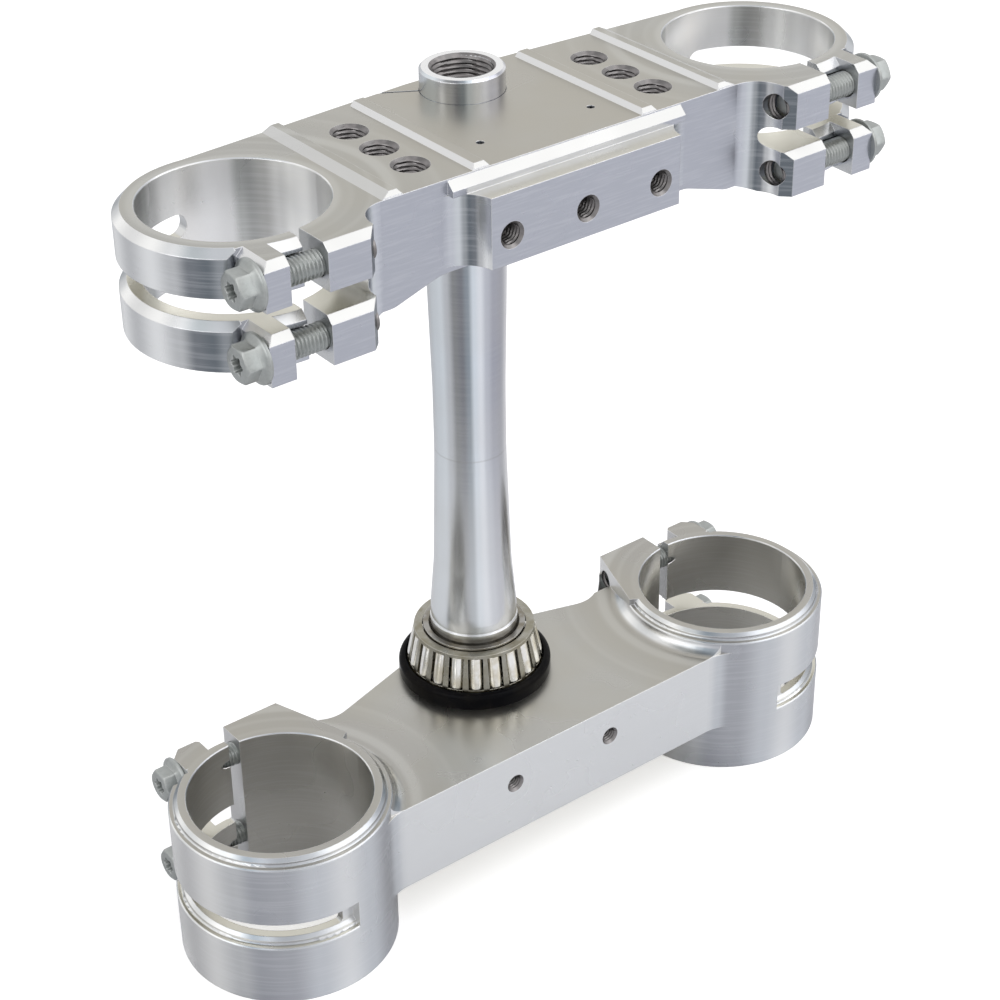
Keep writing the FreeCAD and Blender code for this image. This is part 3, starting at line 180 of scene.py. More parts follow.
# Handling: broad cloudy patches, and small specks left by fingers and cloths
handling, ends, result = start_group("handling", [("Size", 30.0)], ["Clouds", "Specks"])
place = put(handling, "ShaderNodeTexCoord").outputs["Object"]
clouds = put(handling, "ShaderNodeTexNoise", in_Vector=place, in_Scale=ends.outputs["Size"],
             in_Detail=2.0, in_Roughness=0.55).outputs["Fac"]
dots = put(handling, "ShaderNodeTexVoronoi", feature="F1", in_Vector=place,
           in_Scale=260.0).outputs["Distance"]
handling.links.new(spread(handling, clouds, 0.36, 0.66), result.inputs["Clouds"])
handling.links.new(spread(handling, dots, 0.10, 0.03), result.inputs["Specks"])


def use(tree, group, **inputs):
    """A group placed in a material, with its values."""
    node = put(tree, "ShaderNodeGroup", node_tree=group)
    for key, value in inputs.items():
        if isinstance(value, bpy.types.NodeSocket):
            tree.links.new(value, node.inputs[key])
        else:
            node.inputs[key].default_value = value
    return node.outputs


def start_finish(name):
    """A new material: its tree and its Principled shader."""
    material = bpy.data.materials.new(name)
    material.use_nodes = True
    return material, material.node_tree, material.node_tree.nodes["Principled BSDF"]


def stops(tree, value, colours):
    """Colours at places from 0 to 1, melted into each other. The two end places come first."""
    made = put(tree, "ShaderNodeValToRGB", in_0=value)
    ramp = made.color_ramp
    ramp.interpolation = "EASE"
    for number, (place_on, colour) in enumerate(colours):
        stop = ramp.elements[number] if number < 2 else ramp.elements.new(place_on)
        stop.position = place_on
        stop.color = colour + (1.0,)
    return made.outputs[0]


def relief(tree, shader, strength, distance, height, **under):
    """A faint relief in a finish, laid over its rounded edges where it has them."""
    bump = put(tree, "ShaderNodeBump", in_Strength=strength, in_Distance=distance,
               in_Height=height, **under)
    tree.links.new(bump.outputs[0], shader.inputs["Normal"])


def anodised(name, level_colour, outer_colour, upright_painted_reflections, bore, bore_painted_reflections, bevel_painted_highlights,
             ledges_below):
    """Satin anodised aluminium: warm where it faces up, partly painted reflection and partly handling
    marks; walls graded by which way they face, as painted reflections; painted highlights on its bevels and
    edges.
    """
    material, tree, shader = start_finish(name)
    shader.inputs["Metallic"].default_value = 1.0
    way = use(tree, facing)
    flat = spread(tree, sums(tree, "ABSOLUTE", sums(tree, "SUBTRACT", way["Turn"], 0.5)), 0.44, 0.495)
    marks = use(tree, cutting, Level=way["Level"], Bore=bore, Flat=flat)
    edge = use(tree, edges, Radius=0.00035)
    cloud = use(tree, handling, Size=26.0)
    # Upright faces coloured by which way they turn: painted reflections
    walls = stops(tree, way["Turn"], upright_painted_reflections)
    # Bore walls coloured by which way they turn: painted reflections
    walls = tint(tree, marks["Bored"], walls, stops(tree, way["Turn"], bore_painted_reflections))
    tops = tint(tree, marks["Outwards"], level_colour, outer_colour)
    tops = wash(tree, cloud["Clouds"], 0.20, tops, (0.46, 0.42, 0.33, 1.0))
    tops = wash(tree, marks["Sweeps"], 0.26, tops, (0.70, 0.70, 0.67, 1.0))
    ledges = sums(tree, "LESS_THAN", marks["Height above"], ledges_below)
    tops = wash(tree, ledges, 0.8, tops, (0.68, 0.66, 0.58, 1.0))
    # Up-facing faces take the top colour instead of the wall ramp: painted light by facing
    colour = tint(tree, way["Level"], walls, tops)
    streak = spread(tree, marks["Lines"], 0.45, 0.66)
    colour = wash(tree, streak, 0.10, colour, (0.86, 0.87, 0.90, 1.0))
    # Bevels coloured by which way they turn: painted highlights and reflections
    colour = tint(tree, way["Bevel"], colour, stops(tree, way["Turn"], bevel_painted_highlights))
    # Painted highlight along the rounded edges
    colour = wash(tree, edge["Mask"], 0.55, colour, (0.84, 0.84, 0.85, 1.0))
    tree.links.new(colour, shader.inputs["Base Color"])
    rough = spread(tree, cloud["Clouds"], 0.0, 1.0, 0.26, 0.34)
    rough = sums(tree, "ADD", rough, sums(tree, "MULTIPLY", cloud["Specks"], 0.04))
    tree.links.new(rough, shader.inputs["Roughness"])
    relief(tree, shader, 0.12, 0.00003, marks["Height"], in_Normal=edge["Normal"])
    return material


def dress(node, material):
    """A CAD node keeps its shape and takes a material."""
    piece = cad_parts[node]
    piece.data.materials.clear()
    piece.data.materials.append(material)


# The wall, bore and bevel colours below are painted reflections and highlights, set by which way each face
# looks
lower_finish = anodised(
    "anodised_lower_clamp", level_colour=(0.44, 0.435, 0.41, 1.0), outer_colour=(0.385, 0.375, 0.35, 1.0),
    upright_painted_reflections=[
        (0.0, (0.60, 0.60, 0.60)), (1.0, (0.76, 0.77, 0.78)), (0.18, (0.76, 0.76, 0.75)),
        (0.36, (0.52, 0.53, 0.54)), (0.48, (0.38, 0.39, 0.42)), (0.64, (0.42, 0.43, 0.46)),
        (0.82, (0.60, 0.62, 0.65))],
    bore=LOWER_BORE,
    bore_painted_reflections=[(0.0, (0.78, 0.77, 0.73)), (1.0, (0.62, 0.61, 0.58)), (0.45, (0.56, 0.55, 0.52))],
    bevel_painted_highlights=[
        (0.0, (0.66, 0.67, 0.67)), (1.0, (0.50, 0.51, 0.52)), (0.17, (0.86, 0.86, 0.85)),
        (0.30, (0.55, 0.57, 0.58)), (0.43, (0.22, 0.25, 0.28)), (0.56, (0.34, 0.36, 0.39)),
        (0.80, (0.48, 0.50, 0.53))],
    ledges_below=LOWER_LEDGES)
dress("lower_clamp", lower_finish)


# Threads. Every threaded hole of the clamps was cut with a tap after the faces were
# milled. Each is a thin winding surface just inside the drilled wall, painted dark grey
# as painted shade in the hole, with darker patches.

TAP_SEGMENTS = 40
ROWS_A_TURN = 6
SHARP_ANGLE = math.radians(35)
OFF_WALL = 0.00002


def ridge(turns):
    """How far a thread stands up some turns along it: 0 on its flat root, 1 on its flat crest."""
    share = turns - math.floor(turns)
    return min(max(1.35 * (1 - abs(2 * share - 1)) - 0.15, 0.0), 1.0)


def skin(name, rows, first_point=None, last_point=None):
    """A mesh over closed rows of points, closed at its ends where a middle point is given."""
    count = len(rows[0])
    points = [point for row in rows for point in row]
    faces = []
    for row in range(len(rows) - 1):
        for place_in_row in range(count):
            following = (place_in_row + 1) % count
            faces.append((row * count + place_in_row, row * count + following,
                          (row + 1) * count + following, (row + 1) * count + place_in_row))
    if first_point is not None:
        points.append(first_point)
        faces += [(len(points) - 1, (i + 1) % count, i) for i in range(count)]
    if last_point is not None:
        points.append(last_point)
        start = (len(rows) - 1) * count
        faces += [(len(points) - 1, start + i, start + (i + 1) % count) for i in range(count)]
    mesh = bpy.data.meshes.new(name)
    mesh.from_pydata(points, [], faces)
    mesh.shade_smooth()
    mesh.set_sharp_from_angle(angle=SHARP_ANGLE)
    return mesh


def thread_rows(length, pitch, segments, radius_at):
    """Rows along -Z from the origin; radius_at(depth below the mouth, thread's height there)."""
    count = math.ceil(length / pitch * ROWS_A_TURN)
    rows = []
    for step in range(count + 1):
        depth = length * step / count
        row = []
        for i in range(segments):
            angle = 2 * math.pi * i / segments
            radius = radius_at(depth, ridge(depth / pitch + i / segments))
            row.append((radius * math.cos(angle), radius * math.sin(angle), -depth))
        rows.append(row)
    return rows


tapped_painted_shade_finish, tree, shader = start_finish("tapped_thread_painted_shade")
shader.inputs["Metallic"].default_value = 0.9
wall = mottling(tree, 260.0, 1.0)
# Dark greys: painted shade inside the holes, mottled at random
colour = tint(tree, spread(tree, wall, 0.30, 0.70),
              (0.15, 0.145, 0.145, 1.0), (0.27, 0.255, 0.255, 1.0))
tree.links.new(colour, shader.inputs["Base Color"])
tree.links.new(spread(tree, wall, 0.3, 0.7, 0.22, 0.40), shader.inputs["Roughness"])


def seat(name, mesh, material, at, towards, body):
    """A piece whose mesh points along +Z, put where it belongs on the frame."""
    piece = bpy.data.objects.new(name, mesh)
    bpy.context.scene.collection.objects.link(piece)
    if not mesh.materials:
        mesh.materials.append(material)
    turn = Vector(towards).to_track_quat("Z", "Y").to_matrix().to_4x4()
    piece.matrix_world = Matrix.Translation(Vector(at)) @ turn
    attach(piece, body)
    return piece


def tapped_hole(name, hole_radius, depth, pitch, length, mouths, lead=0.0):
    """Like threads for several holes: each mouth is a point and the direction out of the hole."""
    def radius_at(below, high):
        root = hole_radius - OFF_WALL + max(lead - below, 0.0)
        return root - depth * high * min(max((below - lead * 0.5) / pitch, 0.0), 1.0)
    mesh = skin(name, [row[::-1] for row in thread_rows(length, pitch, TAP_SEGMENTS, radius_at)])
    for number, (at, towards) in enumerate(mouths):
        seat("%s_%d" % (name, number + 1), mesh, tapped_painted_shade_finish, at, towards,
             "clamp_frame")


FRONT_HOLE_X = 0.0205
FRONT_HOLE_Y = -0.0490
FRONT_HOLE_Z = -0.0119
HOLE_LEAD = 0.0008
tapped_hole("arm_front_thread", hole_radius=0.0025, depth=0.00038, pitch=0.0010, length=0.0140,
            mouths=[((side * FRONT_HOLE_X, FRONT_HOLE_Y, FRONT_HOLE_Z), (0, -1, 0)) for side in (1, -1)],
            lead=HOLE_LEAD)

BOLT_PITCH = 0.00125
EAR_HOLE = 0.00405
EAR_THREAD = 0.00045
LOWER_EAR_X = 0.0707
LOWER_BOLT_Y = 0.0115
LOWER_BOLT_HEIGHTS = (-0.0008, -0.0345)
tapped_hole("lower_ear_thread", hole_radius=EAR_HOLE, depth=EAR_THREAD, pitch=BOLT_PITCH, length=0.0018,
            mouths=[((side * LOWER_EAR_X, LOWER_BOLT_Y, height), (-side, 0, 0)) for side in (1, -1)
                    for height in LOWER_BOLT_HEIGHTS])


# Steering stem. A tube turned from aluminium bar and polished, waisted between the
# bearings, pressed into the lower clamp and clamped by the upper one. Its top end is
# threaded inside for the bolt that holds the head bearings together.

STEM_TOP = 0.2210
SCRIBE_HEIGHT = 0.0893

stem_finish, tree, shader = start_finish("polished_stem")
shader.inputs["Metallic"].default_value = 1.0
place = put(tree, "ShaderNodeTexCoord").outputs["Object"]
stem_level = put(tree, "ShaderNodeSeparateXYZ", in_0=place).outputs[2]
turning = mottling(tree, 1700.0, 2.0, (0.02, 0.02, 1.0))
way = use(tree, facing)
cloud = use(tree, handling, Size=34.0)
edge = use(tree, edges, Radius=0.0003)
off_scribe = sums(tree, "ABSOLUTE", sums(tree, "SUBTRACT", stem_level, SCRIBE_HEIGHT))
scribe = spread(tree, off_scribe, 0.0005, 0.0001)
# Vertical bands by which way the surface faces all round: painted reflections, the same from every side
colour = stops(tree, way["Around"], [
    (0.0, (0.68, 0.73, 0.77)), (1.0, (0.68, 0.73, 0.77)), (0.030, (0.72, 0.77, 0.81)),
    (0.062, (0.54, 0.56, 0.59)), (0.095, (0.24, 0.25, 0.26)), (0.124, (0.19, 0.20, 0.225)),
    (0.149, (0.27, 0.31, 0.35)), (0.173, (0.70, 0.76, 0.82)), (0.199, (0.80, 0.83, 0.88)),
    (0.228, (0.53, 0.55, 0.61)), (0.262, (0.39, 0.40, 0.46)), (0.305, (0.38, 0.385, 0.43)),
    (0.370, (0.70, 0.70, 0.72)), (0.44, (0.52, 0.53, 0.55)), (0.50, (0.26, 0.27, 0.29)),
    (0.56, (0.44, 0.45, 0.48)), (0.62, (0.78, 0.80, 0.84)), (0.69, (0.50, 0.51, 0.55)),
    (0.76, (0.30, 0.31, 0.33)), (0.83, (0.56, 0.58, 0.61)), (0.91, (0.42, 0.44, 0.47))])
# Lighter towards the lower end: painted reflection
low_end_painted_reflection = spread(tree, stem_level, 0.130, 0.032)
colour = wash(tree, low_end_painted_reflection, 0.45, colour, (0.90, 0.91, 0.91, 1.0))
# Dark band at the stem's foot where it meets the bearing: painted shade
foot_painted_shade = spread(tree, stem_level, 0.0225, 0.0205)
colour = wash(tree, foot_painted_shade, 0.85, colour, (0.16, 0.15, 0.13, 1.0))
colour = wash(tree, spread(tree, turning, 0.35, 0.65), 0.04, colour, (0.9, 0.9, 0.9, 1.0))
colour = wash(tree, cloud["Clouds"], 0.08, colour, (0.56, 0.52, 0.47, 1.0))
colour = wash(tree, scribe, 0.22, colour, (0.30, 0.28, 0.27, 1.0))
colour = tint(tree, way["Level"], colour, (0.80, 0.80, 0.80, 1.0))
# Painted highlight along the rounded edges
colour = wash(tree, edge["Mask"], 0.7, colour, (0.90, 0.90, 0.92, 1.0))
tree.links.new(colour, shader.inputs["Base Color"])
tree.links.new(spread(tree, cloud["Clouds"], 0.0, 1.0, 0.20, 0.25), shader.inputs["Roughness"])
relief(tree, shader, 0.04, 0.00002, turning, in_Normal=edge["Normal"])
dress("steering_stem", stem_finish)
tapped_hole("stem_thread", hole_radius=0.0095, depth=0.00065, pitch=0.0015, length=0.0312,
            mouths=[((0, 0, STEM_TOP), (0, 0, 1))], lead=0.0007)


# Dust seal. A moulded rubber cup that the bearing sits in. It is wiped with grease,
# so it is nearly black, with a weak gloss that goes dull in patches.

rubber, tree, shader = start_finish("greased_rubber")
film = mottling(tree, 95.0, 3.0)
colour = tint(tree, spread(tree, film, 0.40, 0.70),
              (0.004, 0.004, 0.005, 1.0), (0.010, 0.009, 0.008, 1.0))
tree.links.new(colour, shader.inputs["Base Color"])
tree.links.new(spread(tree, film, 0.35, 0.70, 0.10, 0.22), shader.inputs["Roughness"])
relief(tree, shader, 0.15, 0.00010, film)
shader.inputs["Specular IOR Level"].default_value = 0.03
dress("dust_seal", rubber)


# Bearing. A tapered roller bearing pressed onto the stem's foot: the ground steel
# cone with its two ribs, twenty ground rollers, and a cage pressed from sheet. Old
# oil has left brown patches on all of it, and yellow round the cage's foot.

ROLLERS = 20


def ground_steel(name, clean_colour, oiled_colour):
    """Steel ground smooth, with a brown film of old oil on parts of it and a painted highlight along its
    edges.
    """
    material, tree, shader = start_finish(name)
    shader.inputs["Metallic"].default_value = 1.0
    oil = mottling(tree, 210.0, 2.0)
    fine = mottling(tree, 2600.0, 1.0, (1.0, 1.0, 0.06))
    edge = use(tree, edges, Radius=0.00018)
    colour = tint(tree, spread(tree, oil, 0.38, 0.68), clean_colour, oiled_colour)
    # Painted highlight along the rounded edges
    colour = wash(tree, edge["Mask"], 0.6, colour, (0.88, 0.87, 0.84, 1.0))
    tree.links.new(colour, shader.inputs["Base Color"])
    tree.links.new(spread(tree, oil, 0.3, 0.7, 0.12, 0.24), shader.inputs["Roughness"])
    relief(tree, shader, 0.12, 0.00002, fine, in_Normal=edge["Normal"])
    return material


# The cone's steel is painted darker, painted shade between the stem's foot and the cage; the rollers' steel
# is painted near white, painted highlights. Both keep patches of old oil.
dress("bearing_cone", ground_steel("ground_cone_steel_painted_shade", (0.34, 0.33, 0.31, 1.0), (0.22, 0.20, 0.16, 1.0)))
roller_steel = ground_steel("ground_roller_steel_painted_highlight", (0.93, 0.92, 0.89, 1.0), (0.74, 0.70, 0.60, 1.0))
for number in range(ROLLERS):
    dress("roller_%02d" % (number + 1), roller_steel)

sheet_steel, tree, shader = start_finish("pressed_cage_steel")
shader.inputs["Metallic"].default_value = 1.0
place = put(tree, "ShaderNodeTexCoord").outputs["Object"]
cage_level = put(tree, "ShaderNodeSeparateXYZ", in_0=place).outputs[2]
oil = mottling(tree, 170.0, 3.0)
edge = use(tree, edges, Radius=0.00025)
yellowed = spread(tree, cage_level, 0.0062, 0.0046)
colour = tint(tree, spread(tree, oil, 0.35, 0.70), (0.37, 0.36, 0.32, 1.0), (0.27, 0.25, 0.19, 1.0))
colour = wash(tree, yellowed, 0.7, colour, (0.42, 0.34, 0.17, 1.0))
# Painted highlight along the cage's rounded edges
colour = wash(tree, edge["Mask"], 0.6, colour, (0.74, 0.72, 0.66, 1.0))
tree.links.new(colour, shader.inputs["Base Color"])
tree.links.new(spread(tree, oil, 0.3, 0.7, 0.22, 0.38), shader.inputs["Roughness"])
relief(tree, shader, 0.2, 0.00005, oil, in_Normal=edge["Normal"])
dress("roller_cage", sheet_steel)


# Upper clamp. Milled and anodised as the lower one, from thicker plate, with two low
# ridges a side for the handlebar mounts to sit between and a boss on its front. Its top
# face is painted the warmest, a painted reflection on its up-facing faces, under cloudy
# handling marks like the lower one's.

UPPER_BORE = 0.027
UPPER_LEDGES = 0.2105

# The wall, bore and bevel colours below are painted reflections and highlights, set by which way each face
# looks
upper_finish = anodised(
    "anodised_upper_clamp", level_colour=(0.41, 0.395, 0.355, 1.0), outer_colour=(0.39, 0.385, 0.36, 1.0),
    upright_painted_reflections=[
        (0.0, (0.58, 0.59, 0.60)), (1.0, (0.45, 0.465, 0.52)), (0.17, (0.84, 0.85, 0.85)),
        (0.31, (0.52, 0.53, 0.54)), (0.41, (0.19, 0.205, 0.225)), (0.50, (0.15, 0.17, 0.19)),
        (0.59, (0.34, 0.36, 0.38)), (0.70, (0.64, 0.67, 0.70)), (0.84, (0.56, 0.58, 0.63))],
    bore=UPPER_BORE,
    bore_painted_reflections=[
        (0.0, (0.74, 0.74, 0.73)), (1.0, (0.86, 0.85, 0.84)), (0.13, (0.96, 0.96, 0.94)),
        (0.24, (0.90, 0.90, 0.88)), (0.34, (0.66, 0.66, 0.65)), (0.45, (0.43, 0.43, 0.42)),
        (0.54, (0.38, 0.385, 0.38)), (0.61, (0.48, 0.49, 0.48)), (0.69, (0.76, 0.76, 0.76)),
        (0.84, (0.84, 0.84, 0.84))],
    bevel_painted_highlights=[
        (0.0, (0.70, 0.70, 0.70)), (1.0, (0.45, 0.45, 0.445)), (0.17, (0.88, 0.88, 0.87)),
        (0.30, (0.62, 0.63, 0.64)), (0.43, (0.40, 0.43, 0.45)), (0.56, (0.50, 0.52, 0.55)),
        (0.80, (0.60, 0.61, 0.63))],
    ledges_below=UPPER_LEDGES)
dress("upper_clamp", upper_finish)

TOP = 0.2136
BAR_HOLE_X = 0.045
BAR_HOLE_Y = -0.0202
BAR_HOLE_STEP = 0.015
tapped_hole("bar_mount_thread", hole_radius=0.0050, depth=0.00055, pitch=0.00125, length=0.0300,
            mouths=[((side * BAR_HOLE_X, BAR_HOLE_Y + row * BAR_HOLE_STEP, TOP), (0, 0, 1))
                    for side in (1, -1) for row in (-1, 0, 1)],
            lead=HOLE_LEAD)

BOSS_FACE_Y = -0.0594
BOSS_HOLE_Z = 0.1955
BOSS_HOLE_STEP = 0.0277
tapped_hole("boss_thread", hole_radius=0.0034, depth=0.00045, pitch=0.00125, length=0.0150,
            mouths=[((column * BOSS_HOLE_STEP, BOSS_FACE_Y, BOSS_HOLE_Z), (0, -1, 0))
                    for column in (-1, 0, 1)],
            lead=HOLE_LEAD)

UPPER_EAR_X = 0.0754
UPPER_BOLT_Y = -0.0575
UPPER_BOLT_HEIGHTS = (0.2063, 0.1845)
tapped_hole("upper_ear_thread", hole_radius=EAR_HOLE, depth=EAR_THREAD, pitch=BOLT_PITCH, length=0.0030,
            mouths=[((side * UPPER_EAR_X, UPPER_BOLT_Y, height), (-side, 0, 0)) for side in (1, -1)
                    for height in UPPER_BOLT_HEIGHTS])


# Pinch bolts. Eight bolts of hardened steel, cold headed with a flange, a hexagon
# and a six-lobe recess, rolled threads, and a matt grey zinc flake coat. Two close
# each ring; each turns in the moving ear and pulls on the thread of the fixed one.

FLANGE = 0.0075
FLANGE_EDGE = 0.0012
HEX_CORNER = 0.0058
HEAD = 0.0070
CROWN = 0.0047
CROWN_SLOPE = math.tan(math.radians(30))
RECESS = 0.00245
LOBE = 0.00042
RECESS_DEPTH = 0.0032
SHANK = 0.0040
TIP_CHAMFER = 0.0009
DEPTH_A_PITCH = 0.52
HEAD_SEGMENTS = 96
SHANK_SEGMENTS = 48

zinc, tree, shader = start_finish("zinc_flake")
shader.inputs["Metallic"].default_value = 0.85
flake = mottling(tree, 900.0, 3.0)
cloud = use(tree, handling, Size=120.0)
edge = use(tree, edges, Radius=0.00025)
colour = tint(tree, spread(tree, flake, 0.30, 0.70), (0.33, 0.35, 0.345, 1.0), (0.40, 0.42, 0.415, 1.0))
colour = wash(tree, cloud["Clouds"], 0.25, colour, (0.36, 0.36, 0.34, 1.0))
# Painted highlight along the bolts' rounded edges
colour = wash(tree, edge["Mask"], 0.6, colour, (0.68, 0.69, 0.68, 1.0))
tree.links.new(colour, shader.inputs["Base Color"])
tree.links.new(spread(tree, flake, 0.3, 0.7, 0.34, 0.48), shader.inputs["Roughness"])
relief(tree, shader, 0.10, 0.00002, flake, in_Normal=edge["Normal"])


def shaped_row(radius_at, height_at):
    """A row whose radius follows the angle and whose height follows the radius."""
    row = []
    for i in range(HEAD_SEGMENTS):
        angle = 2 * math.pi * i / HEAD_SEGMENTS
        radius = radius_at(angle)
        row.append((radius * math.cos(angle), radius * math.sin(angle), height_at(radius)))
    return row


def round_row(radius, height):
    """A round row at one height."""
    return shaped_row(lambda angle: radius, lambda out: height)


def hexagon(shrink=0.0):
    """The hexagon's edge at an angle, drawn in a little on its corners."""
    flat = HEX_CORNER * math.cos(math.pi / 6)

    def radius_at(angle):
        within = (angle + math.pi / 6) % (math.pi / 3) - math.pi / 6
        return min(flat / math.cos(math.pi / 6 - abs(within)), HEX_CORNER - 0.00008) - shrink
    return radius_at


def six_lobes(middle, swing):
    """The recess's edge at an angle."""
    return lambda angle: middle + swing * math.cos(6 * angle)


def crown(out):
    """The height of the head's sloping crown this far out."""
    return HEAD - (out - CROWN) * CROWN_SLOPE


# From the floor of the recess over the crown and the hexagon to the flange's underside
bolt_rows = [
    shaped_row(six_lobes(RECESS * 0.86, LOBE * 0.8), lambda out: HEAD - RECESS_DEPTH),
    shaped_row(six_lobes(RECESS * 0.94, LOBE * 0.95), lambda out: HEAD - RECESS_DEPTH + 0.0002),
    shaped_row(six_lobes(RECESS, LOBE), lambda out: HEAD - RECESS_DEPTH + 0.0006),
    shaped_row(six_lobes(RECESS, LOBE), lambda out: HEAD - 0.0003),
    shaped_row(six_lobes(RECESS + 0.0002, LOBE), lambda out: HEAD),
    round_row(CROWN - 0.0001, HEAD),
    round_row(CROWN + 0.0001, HEAD - 0.00004),
    shaped_row(hexagon(0.00010), crown),
    shaped_row(hexagon(), lambda out: crown(out) - 0.00012),
    shaped_row(hexagon(), lambda out: FLANGE_EDGE + 0.0013),
    shaped_row(hexagon(-0.00035), lambda out: FLANGE_EDGE + 0.0009),
    round_row(FLANGE - 0.0007, FLANGE_EDGE + 0.00025),
    round_row(FLANGE - 0.0002, FLANGE_EDGE - 0.00005),
    round_row(FLANGE, FLANGE_EDGE - 0.00035),
    round_row(FLANGE, 0.00025),
    round_row(FLANGE - 0.00015, 0.00006),
    round_row(FLANGE - 0.0009, 0.0),
    round_row(SHANK - 0.0001, 0.0),
]


def bolt_mesh(name, length, rows, shank, pitch, recess_depth, top):
    """Head and threaded shank as one mesh, the head towards +Z and its bearing face at the origin."""
    head = skin(name + "_head", rows, first_point=(0, 0, top - recess_depth - 0.0003))

    def radius_at(depth, high):
        plain = min(max((depth - pitch * 1.2) / pitch, 0.0), 1.0)
        thread = shank - DEPTH_A_PITCH * pitch * (1 - high) * plain
        return min(thread, shank - TIP_CHAMFER + (length - depth))
    shank_mesh = skin(name, thread_rows(length, pitch, SHANK_SEGMENTS, radius_at),
                      last_point=(0, 0, -length))
    joined = bpy.data.meshes.new(name)
    head_points = [tuple(v.co) for v in head.vertices]
    points = head_points + [tuple(v.co) for v in shank_mesh.vertices]
    faces = [tuple(p.vertices) for p in head.polygons]
    faces += [tuple(v + len(head_points) for v in p.vertices) for p in shank_mesh.polygons]
    joined.from_pydata(points, [], [face[::-1] for face in faces])
    joined.shade_smooth()
    joined.set_sharp_from_angle(angle=SHARP_ANGLE)
    bpy.data.meshes.remove(head)
    bpy.data.meshes.remove(shank_mesh)
    return joined


for clamp in ("upper", "lower"):
    low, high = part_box(clamp + "_pinch_bolt_high_right")
    mesh = bolt_mesh(clamp + "_pinch_bolt", high.x - low.x - HEAD, bolt_rows, SHANK, BOLT_PITCH,
                     RECESS_DEPTH, HEAD)
    for place_name in ("high", "low"):
        for side_name, side in (("right", 1), ("left", -1)):
            node = "%s_pinch_bolt_%s_%s" % (clamp, place_name, side_name)
            low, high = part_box(node)
            face = high.x - HEAD if side > 0 else low.x + HEAD
            bolt = seat("flange_bolt_%s_%s_%s" % (clamp, place_name, side_name), mesh, zinc,
                        (face, (low.y + high.y) / 2, (low.z + high.z) / 2), (side, 0, 0),
                        "clamp_frame")
            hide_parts(node)


# Stem pinch bolt. A smaller cap bolt of the same steel and coat, sunk into the back
# wall of the upper clamp, which closes the slit beside the stem.

CAP = 0.0050
CAP_HEIGHT = 0.0045
CAP_RECESS_DEPTH = 0.0022
CAP_SHANK = 0.0030
CAP_PITCH = 0.0010
low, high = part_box("stem_pinch_bolt")
cap_rows = [
    shaped_row(six_lobes(0.0021, 0.00034), lambda out: CAP_HEIGHT - CAP_RECESS_DEPTH),
    shaped_row(six_lobes(RECESS, LOBE), lambda out: CAP_HEIGHT - 0.0018),
    shaped_row(six_lobes(RECESS, LOBE), lambda out: CAP_HEIGHT - 0.0002),
    shaped_row(six_lobes(0.00260, LOBE), lambda out: CAP_HEIGHT),
    round_row(CAP - 0.0006, CAP_HEIGHT),
    round_row(CAP - 0.0002, CAP_HEIGHT - 0.00015),
    round_row(CAP, CAP_HEIGHT - 0.0005),
    round_row(CAP, 0.0002),
    round_row(CAP - 0.0002, 0.0),
    round_row(CAP_SHANK - 0.0001, 0.0),
]
mesh = bolt_mesh("stem_cap_bolt", high.y - low.y - CAP_HEIGHT, cap_rows, CAP_SHANK, CAP_PITCH,
                 CAP_RECESS_DEPTH, CAP_HEIGHT)
bolt = seat("stem_cap_bolt", mesh, zinc,
            ((low.x + high.x) / 2, high.y - CAP_HEIGHT, (low.z + high.z) / 2),
            (0, 1, 0), "clamp_frame")
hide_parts("stem_pinch_bolt")


# Studio. The clamps stand on a plain white table between two large soft lamps, in a
# white room. The table shines a little to the camera alone, so that it is seen as
# white, and the camera looks down from the front left.

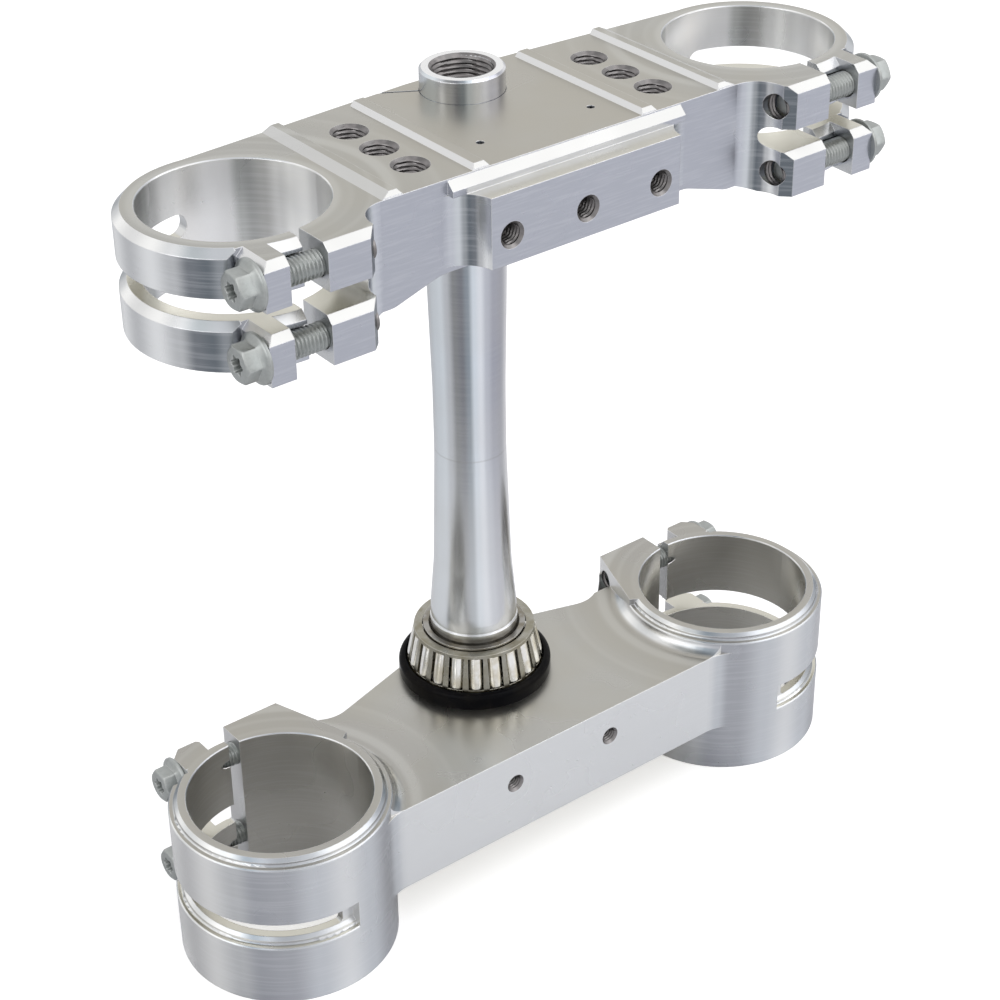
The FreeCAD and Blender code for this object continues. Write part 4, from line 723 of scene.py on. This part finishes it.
FLOOR = -0.0508
TABLE_HALF = 6
floor_finish, tree, shader = start_finish("table")
shader.inputs["Roughness"].default_value = 0.9
shader.inputs["Base Color"].default_value = (0.84, 0.845, 0.87, 1.0)
light_path = put(tree, "ShaderNodeLightPath")
to_camera = tint(tree, light_path.outputs["Is Camera Ray"],
                 (0.0, 0.0, 0.0, 1.0), (0.50, 0.495, 0.48, 1.0))
tree.links.new(to_camera, shader.inputs["Emission Color"])
shader.inputs["Emission Strength"].default_value = 1.0
mesh = bpy.data.meshes.new("table")
mesh.from_pydata([(-TABLE_HALF, -TABLE_HALF, FLOOR), (TABLE_HALF, -TABLE_HALF, FLOOR),
                  (TABLE_HALF, TABLE_HALF, FLOOR), (-TABLE_HALF, TABLE_HALF, FLOOR)], [], [(0, 1, 2, 3)])
mesh.materials.append(floor_finish)
table = bpy.data.objects.new("table", mesh)
bpy.context.scene.collection.objects.link(table)

world = bpy.data.worlds.new("studio")
bpy.context.scene.world = world
world.use_nodes = True
tree = world.node_tree
tree.nodes.clear()
light_path = put(tree, "ShaderNodeLightPath")
seen = sums(tree, "MAXIMUM", light_path.outputs["Is Glossy Ray"], light_path.outputs["Is Transmission Ray"])
seen = sums(tree, "MAXIMUM", light_path.outputs["Is Camera Ray"], seen)
ambient = put(tree, "ShaderNodeBackground", in_Color=(1.0, 1.0, 1.0, 1.0), in_Strength=0.65)
backdrop = put(tree, "ShaderNodeBackground", in_Color=(1.0, 1.0, 1.0, 1.0), in_Strength=1.0)
mixed = put(tree, "ShaderNodeMixShader", in_0=seen, in_1=ambient.outputs[0], in_2=backdrop.outputs[0])
put(tree, "ShaderNodeOutputWorld", in_0=mixed.outputs[0])

for lamp_name, at, size, power in (("key_lamp", (0.75, -0.80, 1.05), 1.5, 9.0),
                                   ("fill_lamp", (-1.10, -0.25, 0.75), 0.9, 3.5)):
    data = bpy.data.lights.new(lamp_name, "AREA")
    data.shape = "SQUARE"
    data.size = size
    data.energy = power
    lamp = bpy.data.objects.new(lamp_name, data)
    bpy.context.scene.collection.objects.link(lamp)
    lamp.location = at
    lamp.rotation_euler = (Vector((0, 0, 0.08)) - Vector(at)).to_track_quat("-Z", "Y").to_euler()

lens = bpy.data.cameras.new("camera")
lens.lens = 83.97
lens.sensor_width = 36.0
lens.clip_start = 0.05
camera = bpy.data.objects.new("camera", lens)
bpy.context.scene.collection.objects.link(camera)
rightwards = Vector((0.7895, -0.6136, -0.0117))
upwards = Vector((0.3343, 0.4139, 0.8467))
backwards = Vector((-0.5147, -0.6724, 0.5319))
camera.matrix_world = Matrix.Translation(Vector((-0.39301, -0.52909, 0.48134))) @ Matrix(
    (rightwards, upwards, backwards)).transposed().to_4x4()
bpy.context.scene.camera = camera
bpy.context.scene.view_settings.view_transform = "Standard"

bpy.context.view_layer.update()
